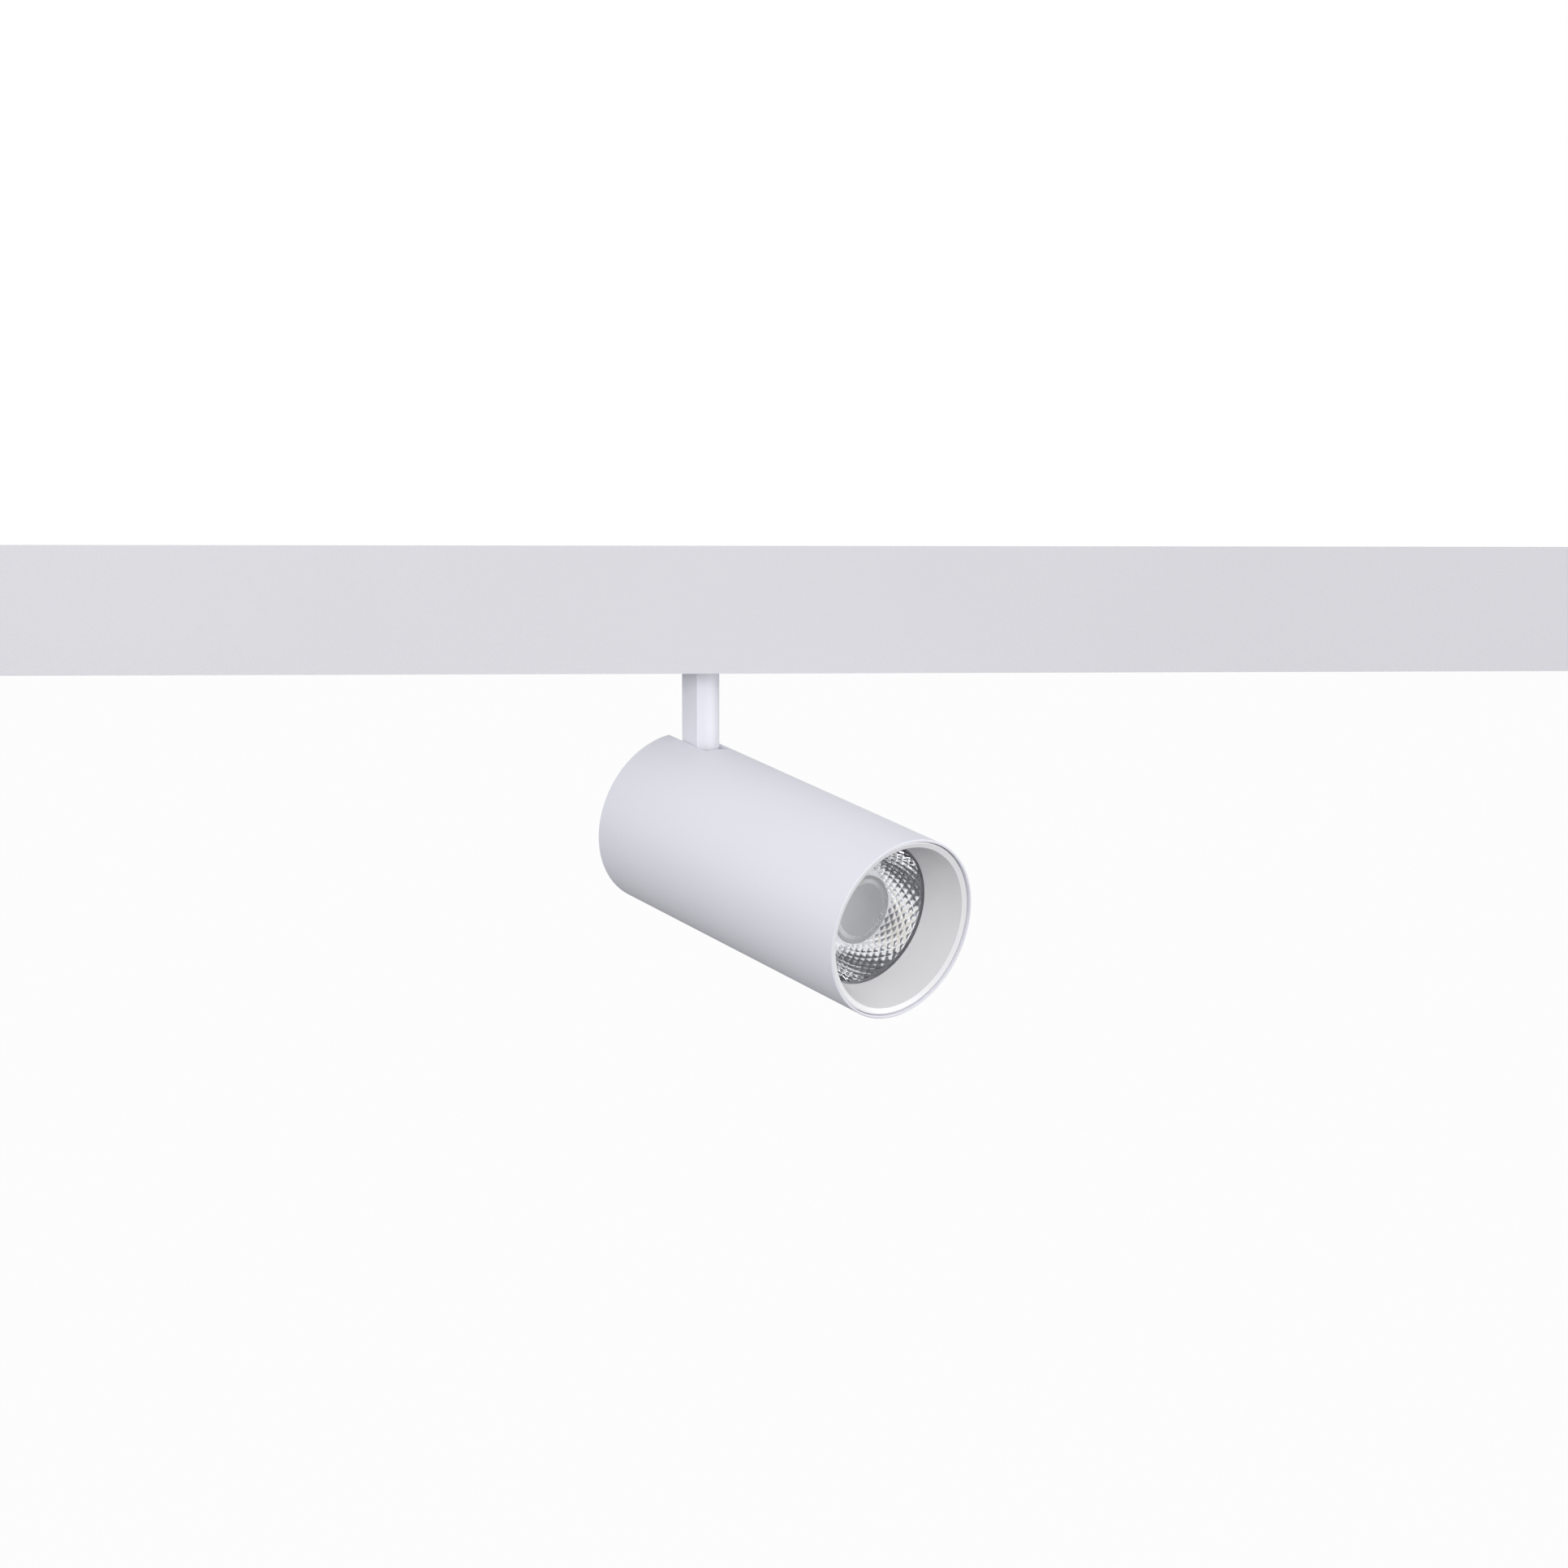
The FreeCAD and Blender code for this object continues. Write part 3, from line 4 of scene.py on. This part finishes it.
import bpy
import numpy as np
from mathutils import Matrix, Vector


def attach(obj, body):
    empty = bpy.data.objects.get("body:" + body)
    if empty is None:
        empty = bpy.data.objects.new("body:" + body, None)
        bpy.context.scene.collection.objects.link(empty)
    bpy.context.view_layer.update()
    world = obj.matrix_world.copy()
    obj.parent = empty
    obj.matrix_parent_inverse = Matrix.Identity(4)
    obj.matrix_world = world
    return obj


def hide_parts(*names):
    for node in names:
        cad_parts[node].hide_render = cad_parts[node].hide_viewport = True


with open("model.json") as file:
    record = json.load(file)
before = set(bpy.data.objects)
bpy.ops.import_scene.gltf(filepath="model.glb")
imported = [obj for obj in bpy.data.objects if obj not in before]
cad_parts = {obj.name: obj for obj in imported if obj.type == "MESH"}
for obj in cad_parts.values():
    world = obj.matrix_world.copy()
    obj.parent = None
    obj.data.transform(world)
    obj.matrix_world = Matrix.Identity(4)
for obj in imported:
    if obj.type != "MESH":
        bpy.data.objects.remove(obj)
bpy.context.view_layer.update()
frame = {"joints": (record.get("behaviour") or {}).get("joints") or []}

# ---- the imported model ------------------------------------------------------------------------


# ---- view, floor and light -------------------------------------------------------------------
# The lamp hangs in an empty white studio: a broad pale floor well below it, a white surround,
# one large soft light from the right, one from the front and a weak one from the left.

joints = {joint["name"]: joint for joint in frame["joints"]}
HINGE = Vector(joints["head_tilt"]["pos_m"])
CAMERA_FROM_HINGE = Vector((-0.0852, -1.0015, 0.0776))
CAMERA_YAW = math.radians(-6.28)
CAMERA_PITCH = math.radians(-3.54)
CAMERA_LENS = 74.5
CAMERA_SENSOR = 36.0
LEVEL = math.radians(90)
FLOOR_DROP = 0.75
FLOOR_SIZE = 60.0
FLOOR_PLAIN = 0.97      # share of plain white in the floor as the camera sees it
WHITE = (1.0, 1.0, 1.0, 1.0)
SURROUND = (0.98, 0.98, 1.0, 1.0)
SURROUND_LIGHT = 0.66
# Each light's place from the tilt axis in metres, side in metres and power in watts.
LIGHTS = {
    "key": ((1.70, -0.55, 0.10), 1.0, 11.7),
    "front": ((-0.35, -1.55, 0.35), 0.9, 9.0),
    "fill": ((-1.55, -0.60, 0.30), 1.2, 3.1),
}

camera_data = bpy.data.cameras.new("view")
camera_data.lens = CAMERA_LENS
camera_data.sensor_width = CAMERA_SENSOR
camera = bpy.data.objects.new("view", camera_data)
camera.location = HINGE + CAMERA_FROM_HINGE
camera.rotation_euler = (LEVEL + CAMERA_PITCH, 0, CAMERA_YAW)
bpy.context.scene.collection.objects.link(camera)
bpy.context.scene.camera = camera

world = bpy.data.worlds.new("studio")
world.use_nodes = True
surround = world.node_tree.nodes
surround["Background"].inputs["Color"].default_value = SURROUND
surround["Background"].inputs["Strength"].default_value = SURROUND_LIGHT
backdrop = surround.new("ShaderNodeBackground")
backdrop.inputs["Color"].default_value = WHITE
seen = surround.new("ShaderNodeLightPath")
either = surround.new("ShaderNodeMixShader")
world_links = world.node_tree.links
world_links.new(seen.outputs["Is Camera Ray"], either.inputs["Fac"])
world_links.new(surround["Background"].outputs[0], either.inputs[1])
world_links.new(backdrop.outputs[0], either.inputs[2])
world_links.new(either.outputs[0], surround["World Output"].inputs["Surface"])
bpy.context.scene.world = world
bpy.context.scene.view_settings.view_transform = "Standard"


def soft_light(name, place, size, power):
    """A square area light aimed at the lamp's tilt axis."""
    data = bpy.data.lights.new(name, "AREA")
    data.size = size
    data.energy = power
    lamp = bpy.data.objects.new(name, data)
    lamp.location = HINGE + Vector(place)
    lamp.rotation_euler = (-Vector(place)).to_track_quat("-Z", "Y").to_euler()
    bpy.context.scene.collection.objects.link(lamp)


for light_name, (light_place, light_size, light_power) in LIGHTS.items():
    soft_light(light_name, light_place, light_size, light_power)


# The Mix node's colour sockets share their names with others, so they go by number.
MIX_FIRST = 6
MIX_SECOND = 7
MIX_COLOUR = 2


class Value:
    """A node's output that can be used in Python sums, which add Math nodes."""

    def __init__(self, material, socket):
        self.material = material
        self.socket = socket

    def maths(self, operation, first, second):
        settings = {"operation": operation}
        return self.material.add("ShaderNodeMath", settings, {0: first, 1: second})

    def __add__(self, other):
        return self.maths("ADD", self, other)

    def __radd__(self, other):
        return self.maths("ADD", other, self)

    def __rmul__(self, other):
        return self.maths("MULTIPLY", other, self)


class Finish:
    """A procedural material: a Principled surface whose sockets take numbers or Values."""

    def __init__(self, name, **surface):
        self.made = bpy.data.materials.new(name)
        self.made.use_nodes = True
        self.tree = self.made.node_tree
        self.shader = self.tree.nodes["Principled BSDF"]
        self.place = self.add("ShaderNodeTexCoord", {}, {}, "Object")
        self.set(**surface)

    def add(self, kind, settings, inputs, output=0):
        """Adds a node, with its settings first and then its sockets' values or links."""
        node = self.tree.nodes.new(kind)
        for name, setting in settings.items():
            setattr(node, name, setting)
        for name, value in inputs.items():
            self.feed(node.inputs[name], value)
        return Value(self, node.outputs[output])

    def feed(self, socket, value):
        if isinstance(value, Value):
            self.tree.links.new(value.socket, socket)
        else:
            socket.default_value = value

    def set(self, **surface):
        """Sets the Principled sockets, with an underscore for each space in their names."""
        for name, value in surface.items():
            self.feed(self.shader.inputs[name.replace("_", " ")], value)

    def noise(self, scale, detail=2.0, stretch=None):
        """Noise over the piece, at so many features a metre, stretched along X, Y or Z if asked."""
        place = self.place
        if stretch:
            place = self.add("ShaderNodeMapping", {}, {"Vector": place, "Scale": stretch})
        inputs = {"Vector": place, "Scale": scale, "Detail": detail}
        return self.add("ShaderNodeTexNoise", {}, inputs)

    def mix(self, factor, low, high):
        """A colour between two others."""
        inputs = {"Factor": factor, MIX_FIRST: low, MIX_SECOND: high}
        return self.add("ShaderNodeMix", {"data_type": "RGBA"}, inputs, MIX_COLOUR)

    def bump(self, height, depth):
        """Raises the surface by height times depth in metres."""
        inputs = {"Height": height, "Strength": 1.0, "Distance": depth}
        self.set(Normal=self.add("ShaderNodeBump", {}, inputs))


def finish_nodes(material, *nodes):
    """Gives CAD nodes a finish."""
    for node in nodes:
        slots = bpy.data.objects[node].material_slots
        for slot in slots:
            slot.link = "OBJECT"
            slot.material = material.made


floor_finish = Finish("studio_floor", Roughness=0.9)
floor_tone = floor_finish.noise(2.0)
floor_finish.set(
    Base_Color=floor_finish.mix(floor_tone, (0.36, 0.36, 0.37, 1), (0.40, 0.40, 0.41, 1)))
straight = floor_finish.add("ShaderNodeLightPath", {}, {}, "Is Camera Ray")
lit = floor_finish.add("ShaderNodeEmission", {}, {"Color": WHITE})
seen_floor = floor_finish.add("ShaderNodeMixShader", {}, {"Fac": FLOOR_PLAIN * straight, 2: lit})
floor_tree = floor_finish.tree
floor_tree.links.new(floor_finish.shader.outputs[0], seen_floor.socket.node.inputs[1])
floor_tree.links.new(seen_floor.socket, floor_tree.nodes["Material Output"].inputs["Surface"])
half = FLOOR_SIZE / 2
floor_z = HINGE.z - FLOOR_DROP
corners = [
    (-half, -half, floor_z), (half, -half, floor_z),
    (half, half, floor_z), (-half, half, floor_z),
]
floor_mesh = bpy.data.meshes.new("floor")
floor_mesh.from_pydata(corners, [], [(0, 1, 2, 3)])
floor_mesh.materials.append(floor_finish.made)
floor = bpy.data.objects.new("floor", floor_mesh)
bpy.context.scene.collection.objects.link(floor)


# ---- white coated metal ----------------------------------------------------------------------
# Track, arm, tube and rear cover are extruded or turned aluminium, sprayed with a fine satin
# powder coat: a slight orange peel, a finer grain on top, and a cool white. The track's coat is
# a shade greyer than the lamp's.


COAT_GRAINS = 1500.0
COAT_PEELS = 420.0
COAT_TONES = 14.0
COAT_ROUGHNESS = 0.36
COAT_ROUGHNESS_RANGE = 0.16
PEEL_SHARE = 0.35
GRAIN_SHARE = 0.65
COAT_DEPTH = 0.00007


def powder_coat(name, dark, light):
    """Two-layer powder coat: a soft orange peel under a finer grain, over a slow change of tone."""
    coat = Finish(name, Metallic=0.0)
    grain = coat.noise(COAT_GRAINS, 3.0)
    peel = coat.noise(COAT_PEELS, 2.0)
    coat.set(
        Base_Color=coat.mix(coat.noise(COAT_TONES), dark, light),
        Roughness=COAT_ROUGHNESS + COAT_ROUGHNESS_RANGE * grain,
    )
    coat.bump(PEEL_SHARE * peel + GRAIN_SHARE * grain, COAT_DEPTH)
    return coat


white_coat = powder_coat("white_coat", (0.835, 0.835, 0.895, 1), (0.86, 0.86, 0.92, 1))
finish_nodes(white_coat, "arm", "tube", "rear_cover")
track_coat = powder_coat("track_coat", (0.705, 0.70, 0.735, 1), (0.73, 0.725, 0.76, 1))
finish_nodes(track_coat, "track_profile")


# ---- front baffle ----------------------------------------------------------------------------
# A turned aluminium ring and deep cone in one piece, screwed into the tube's mouth. It is sprayed
# satin like the rest, a little smoother and warmer, so that the cone takes the light softly.

BAFFLE_DARK = (0.875, 0.87, 0.88, 1)
BAFFLE_LIGHT = (0.895, 0.89, 0.90, 1)
BAFFLE_GRAINS = 1800.0
BAFFLE_TONES = 30.0
BAFFLE_ROUGHNESS = 0.26
BAFFLE_ROUGHNESS_RANGE = 0.10
BAFFLE_DEPTH = 0.00002

baffle_coat = Finish("baffle_white", Metallic=0.0)
baffle_grain = baffle_coat.noise(BAFFLE_GRAINS, 2.0)
baffle_coat.set(
    Base_Color=baffle_coat.mix(baffle_coat.noise(BAFFLE_TONES), BAFFLE_DARK, BAFFLE_LIGHT),
    Roughness=BAFFLE_ROUGHNESS + BAFFLE_ROUGHNESS_RANGE * baffle_grain,
)
baffle_coat.bump(baffle_grain, BAFFLE_DEPTH)
finish_nodes(baffle_coat, "front_baffle")


# ---- lens ------------------------------------------------------------------------------------
# One clear acrylic collimator, injection moulded, with a flat front. Its side is a bowl of small
# pillow facets set on two crossing families of spirals. The deep pocket over the LED ends in a
# frosted roof, finely ribbed near its edge, and a flat flange rests on the holder.

PAN = math.radians(-54.5)
TILT = math.radians(14.4)
AHEAD = np.array([math.cos(TILT) * math.cos(PAN), math.cos(TILT) * math.sin(PAN), -math.sin(TILT)])
ASIDE = np.array([-math.sin(PAN), math.cos(PAN), 0.0])
ABOVE = np.cross(AHEAD, ASIDE)
MM = 0.001

LENS_FRONT = 77.3
LENS_REAR = 55.5
FLANGE_BACK = 75.6
FLANGE_R = 23.4
BOWL_R = 21.5
BASE_R = 12.6
POCKET_R = 11.4
POCKET_END_R = 10.6
POCKET_DEPTH = 15.4
BOWL_POWER = 0.62       # how fast the bowl opens from its base
FACETS_ROUND = 36
FACET_TURNS = 6.0
FACET_RISE = 0.10
SPIRAL_POWER = 0.8      # how the spirals spread along the bowl
FADE_RATE = 12          # the facets fade out over this fraction of the bowl at each end
RIBS = 108
RIB_RISE = 0.14
RIB_RADII = (7.9, 9.8)
AROUND = 432
BOWL_ROWS = 90
ROOF_PLAIN_R = 6.6
ROOF_PLAIN_ROWS = 8
RIB_ROWS = 12
ROOF_RIM_RADII = (9.9, 10.3)
ROOF_DOME = 0.9
WALL_TOP = 0.985
WALL_ROWS = 10
AXIS_R = 0.02           # the innermost ring, which a fan closes
FLANGE_STEP = 0.3
FLANGE_EDGE = 0.15
FRONT_RADII = (22.0, 18.0, 12.0, 6.0, AXIS_R)
SHARP_ANGLE = math.radians(16)
CLEAR_SLOT = 0
FROSTED_SLOT = 1
ACRYLIC_IOR = 1.49
RIPPLES = 120.0
RIPPLE_DEPTH = 0.00001
FROST_TRANSMISSION = 0.4
FROST_GLOW = 0.06       # stands in for the light that the roof gathers through the front
FROST_PEBBLES = 1400.0
FROST_ROUGHNESS = 0.35
FROST_ROUGHNESS_RANGE = 0.1
FROST_DEPTH = 0.00005


def in_head(x, y, z):
    """Points given in mm ahead of, aside of and above the tilt axis, in the frame's metres."""
    offset = x[..., None] * AHEAD + y[..., None] * ASIDE + z[..., None] * ABOVE
    return np.array(HINGE) + MM * offset


def pillow(a, b):
    """Height of a field of square pillows: 1 at each cell's middle and 0 along its edges,
    from the product of two parabolas of the cell's own coordinates."""
    u = 2 * (a - np.floor(a)) - 1
    v = 2 * (b - np.floor(b)) - 1
    return (1 - u * u) * (1 - v * v)


def lens_surface():
    """Rows of (distance ahead, radius) from the pocket's middle round to the front's middle, each
    row carried round the axis. The bowl's rows follow radius = base + span * share ** power and
    stand out by the pillows, whose cells lie between two crossing families of spirals."""
    angle = np.linspace(0, 2 * math.pi, AROUND, endpoint=False)
    share = np.linspace(0, 1, BOWL_ROWS)
    bowl_x = LENS_REAR + (FLANGE_BACK - LENS_REAR) * share
    bowl_r = BASE_R + (BOWL_R - BASE_R) * share ** BOWL_POWER
    spiral = FACET_TURNS * share ** SPIRAL_POWER
    turn = FACETS_ROUND * angle / (2 * math.pi)
    raised = pillow(turn[None, :] + spiral[:, None], turn[None, :] - spiral[:, None])
    fade = np.minimum(1, np.minimum(share, 1 - share) * FADE_RATE)[:, None]
    size = FACET_RISE * (bowl_r / BOWL_R)[:, None]
    bowl = bowl_r[:, None] + size * fade * (raised - 1)
    plain_r = np.linspace(AXIS_R, ROOF_PLAIN_R, ROOF_PLAIN_ROWS)
    roof_r = np.concatenate([plain_r, np.linspace(*RIB_RADII, RIB_ROWS), ROOF_RIM_RADII])
    roof_x = LENS_REAR + POCKET_DEPTH - ROOF_DOME * (1 - (roof_r / POCKET_END_R) ** 2)
    wall_x = LENS_REAR + POCKET_DEPTH * np.linspace(WALL_TOP, 0.0, WALL_ROWS)
    wall_r = np.linspace(POCKET_END_R, POCKET_R, WALL_ROWS)
    before = np.stack([np.append(roof_x, wall_x), np.append(roof_r, wall_r)], axis=1)
    flange = [
        (FLANGE_BACK, BOWL_R + FLANGE_STEP),
        (FLANGE_BACK, FLANGE_R - FLANGE_EDGE),
        (FLANGE_BACK + FLANGE_EDGE, FLANGE_R),
        (LENS_FRONT - FLANGE_EDGE, FLANGE_R),
        (LENS_FRONT, FLANGE_R - FLANGE_EDGE),
    ]
    front = [(LENS_FRONT, radius) for radius in FRONT_RADII]
    after = np.array(flange + front)
    x = np.concatenate([before[:, 0], bowl_x, after[:, 0]])
    flat = np.ones(AROUND)
    r = np.concatenate([before[:, 1:] * flat, bowl, after[:, 1:] * flat])
    inner, outer = RIB_RADII
    ribbed = np.clip((r[:, :1] - inner) * (outer - r[:, :1]), 0, 1)
    ribbed[len(roof_r):] = 0
    x = x[:, None] + RIB_RISE * ribbed * np.cos(RIBS * angle)
    points = in_head(x, r * np.cos(angle), r * np.sin(angle))
    return points, len(roof_r)


def grid_mesh(name, points):
    """A mesh of quads between the rows of a closed-round grid, with both ends fanned shut."""
    rows, around = points.shape[:2]
    index = np.arange(rows * around).reshape(rows, around)
    beside = np.roll(index, -1, axis=1)
    quads = np.stack([index[:-1], beside[:-1], beside[1:], index[1:]], axis=-1).reshape(-1, 4)
    start, end = rows * around, rows * around + 1
    middles = [points[:1].mean(axis=1), points[-1:].mean(axis=1)]
    vertices = np.concatenate([points.reshape(-1, 3), *middles])
    fans = [(start, b, a) for a, b in zip(index[0], beside[0])]
    fans += [(end, a, b) for a, b in zip(index[-1], beside[-1])]
    mesh = bpy.data.meshes.new(name)
    mesh.from_pydata(vertices, [], quads.tolist() + fans)
    return mesh


lens_points, roof_rows = lens_surface()
lens_mesh = grid_mesh("lens_clear", lens_points)
clear = Finish(
    "lens_clear",
    Base_Color=(0.97, 0.98, 1.0, 1),
    Roughness=0.02,
    IOR=ACRYLIC_IOR,
    Transmission_Weight=1.0,
)
ripple = clear.noise(RIPPLES, 2.0)
clear.bump(ripple, RIPPLE_DEPTH)
frosted = Finish(
    "lens_frosted",
    Base_Color=(0.96, 0.965, 0.97, 1),
    IOR=ACRYLIC_IOR,
    Transmission_Weight=FROST_TRANSMISSION,
    Emission_Color=(0.95, 0.97, 1.0, 1),
    Emission_Strength=FROST_GLOW,
)
pebble = frosted.noise(FROST_PEBBLES, 2.0)
frosted.set(Roughness=FROST_ROUGHNESS + FROST_ROUGHNESS_RANGE * pebble)
frosted.bump(pebble, FROST_DEPTH)
lens_mesh.materials.append(clear.made)
lens_mesh.materials.append(frosted.made)
face_rows = np.arange(len(lens_mesh.polygons)) // AROUND
slots = np.where(face_rows < roof_rows, FROSTED_SLOT, CLEAR_SLOT)
slots[-2 * AROUND:-AROUND] = FROSTED_SLOT      # the fan that closes the roof's middle
lens_mesh.polygons.foreach_set("material_index", slots.astype(np.int32))
lens_mesh.set_sharp_from_angle(angle=SHARP_ANGLE)
lens = bpy.data.objects.new("lens_clear", lens_mesh)
bpy.context.scene.collection.objects.link(lens)
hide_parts("lens")
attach(lens, "head")


# ---- moulded plastic -------------------------------------------------------------------------
# End caps, adapter, feed block and latches are white polycarbonate out of spark-eroded moulds: a
# fine even pebble with a low sheen. The lens's holder is grey, the LED's is white, and the
# liners are extruded PVC.


PLASTIC_TONES = 25.0
PLASTIC_ROUGHNESS_RANGE = 0.12
PLASTIC_DEPTH = 0.00004


def moulded(name, dark, light, roughness, pebbles, glow):
    """Plastic with a mould's pebble texture. A glow stands in for light that the lens gathers."""
    plastic = Finish(name, Emission_Color=light, Emission_Strength=glow)
    texture = plastic.noise(pebbles, 2.0)
    plastic.set(
        Base_Color=plastic.mix(plastic.noise(PLASTIC_TONES), dark, light),
        Roughness=roughness + PLASTIC_ROUGHNESS_RANGE * texture,
    )
    plastic.bump(texture, PLASTIC_DEPTH)
    return plastic


# Name, dark and light colour, roughness, pebbles a metre, glow, and the nodes that wear it. The
# glow on the LED's holder, board and phosphor is painted light: the unlit LED is drawn lit by the
# light that the lens gathers.
PLASTICS = [
    ("white_plastic", (0.78, 0.78, 0.79, 1), (0.82, 0.82, 0.83, 1), 0.42, 1600.0, 0.0,
     ("end_cap_left", "end_cap_right", "adapter_housing", "adapter_lid", "feed_block",
      "latch_left", "latch_right")),
    ("lens_holder_grey", (0.56, 0.56, 0.58, 1), (0.61, 0.61, 0.63, 1), 0.45, 1500.0, 0.0,
     ("lens_holder",)),
    ("cob_holder_white", (0.84, 0.84, 0.86, 1), (0.88, 0.88, 0.90, 1), 0.40, 1600.0, 0.55,
     ("cob_holder",)),
    ("liner_pvc", (0.66, 0.66, 0.66, 1), (0.70, 0.70, 0.70, 1), 0.35, 700.0, 0.0,
     ("liner_front", "liner_rear")),
    ("black_plastic", (0.02, 0.02, 0.022, 1), (0.035, 0.035, 0.037, 1), 0.40, 1500.0, 0.0,
     ("contact_block", "driver_chips", "driver_inductor", "lead_terminal",
      "friction_washers")),
    ("board_green", (0.02, 0.13, 0.06, 1), (0.03, 0.17, 0.08, 1), 0.22, 500.0, 0.0,
     ("driver_board",)),
    ("led_board", (0.80, 0.80, 0.80, 1), (0.86, 0.86, 0.86, 1), 0.30, 900.0, 0.70,
     ("cob_board",)),
    ("phosphor", (0.88, 0.84, 0.74, 1), (0.92, 0.88, 0.80, 1), 0.25, 2200.0, 0.55,
     ("cob_phosphor",)),
    ("pad_grey", (0.30, 0.30, 0.33, 1), (0.38, 0.38, 0.42, 1), 0.70, 900.0, 0.0,
     ("thermal_pad",)),
    ("lead_silicone", (0.70, 0.70, 0.68, 1), (0.78, 0.78, 0.75, 1), 0.45, 800.0, 0.0,
     ("lead_upper", "lead_arm", "lead_head")),
]
for *look, nodes in PLASTICS:
    finish_nodes(moulded(*look), *nodes)


# ---- bare metal ------------------------------------------------------------------------------
# Strips and busbars are drawn along the track, so their scratches run along it. Screws, nuts
# and the bracket are zinc plated, with the plating's soft mottling. The heat sink is
# bead-blasted die casting.

METAL_TONES = 60.0
METAL_ROUGHNESS_RANGE = 0.18
FINE_MARKS = 0.00002
BLASTED_MARKS = 0.00006
ALONG_TRACK = (0.02, 1.0, 1.0)


def bare(name, dark, light, roughness, marks, stretch, depth):
    """Metal with fine marks, which are drawn out along X where a stretch is given."""
    metal = Finish(name, Metallic=1.0)
    scratches = metal.noise(marks, 3.0, stretch)
    metal.set(
        Base_Color=metal.mix(metal.noise(METAL_TONES, 3.0), dark, light),
        Roughness=roughness + METAL_ROUGHNESS_RANGE * scratches,
    )
    metal.bump(scratches, depth)
    return metal


# Name, dark and light colour, roughness, marks a metre, their stretch and depth, and the nodes.
METALS = [
    ("strip_steel", (0.50, 0.50, 0.52, 1), (0.62, 0.62, 0.64, 1), 0.22, 2400.0, ALONG_TRACK,
     FINE_MARKS, ("steel_strip", "magnets")),
    ("copper", (0.72, 0.36, 0.22, 1), (0.82, 0.47, 0.30, 1), 0.18, 2400.0, ALONG_TRACK,
     FINE_MARKS, ("conductors_front", "conductors_rear")),
    ("screw_steel", (0.48, 0.49, 0.52, 1), (0.62, 0.62, 0.63, 1), 0.24, 1200.0, None,
     FINE_MARKS,
     ("end_cap_screws", "lid_screws", "rear_cover_screws", "cob_screws", "bracket_screws",
      "tube_grub_screw", "hinge_screw", "hinge_nut", "swivel_nut", "swivel_stem",
      "wave_washer", "stop_ring")),
    ("spring_steel", (0.60, 0.60, 0.62, 1), (0.70, 0.70, 0.72, 1), 0.16, 1500.0, None,
     FINE_MARKS,
     ("contact_springs_front", "contact_springs_rear", "latch_spring_left",
      "latch_spring_right")),
    ("pin_brass", (0.70, 0.52, 0.22, 1), (0.80, 0.62, 0.30, 1), 0.20, 1200.0, None,
     FINE_MARKS, ("contact_pins_front", "contact_pins_rear", "swivel_bush")),
    ("can_aluminium", (0.66, 0.66, 0.68, 1), (0.74, 0.74, 0.76, 1), 0.26, 900.0, None,
     FINE_MARKS, ("driver_capacitors",)),
    ("sink_aluminium", (0.56, 0.56, 0.58, 1), (0.66, 0.66, 0.68, 1), 0.42, 1300.0, None,
     BLASTED_MARKS, ("heat_sink",)),
    ("bracket_steel", (0.52, 0.53, 0.55, 1), (0.64, 0.64, 0.65, 1), 0.26, 800.0, None,
     FINE_MARKS, ("hinge_bracket",)),
]
for *look, nodes in METALS:
    finish_nodes(bare(*look), *nodes)
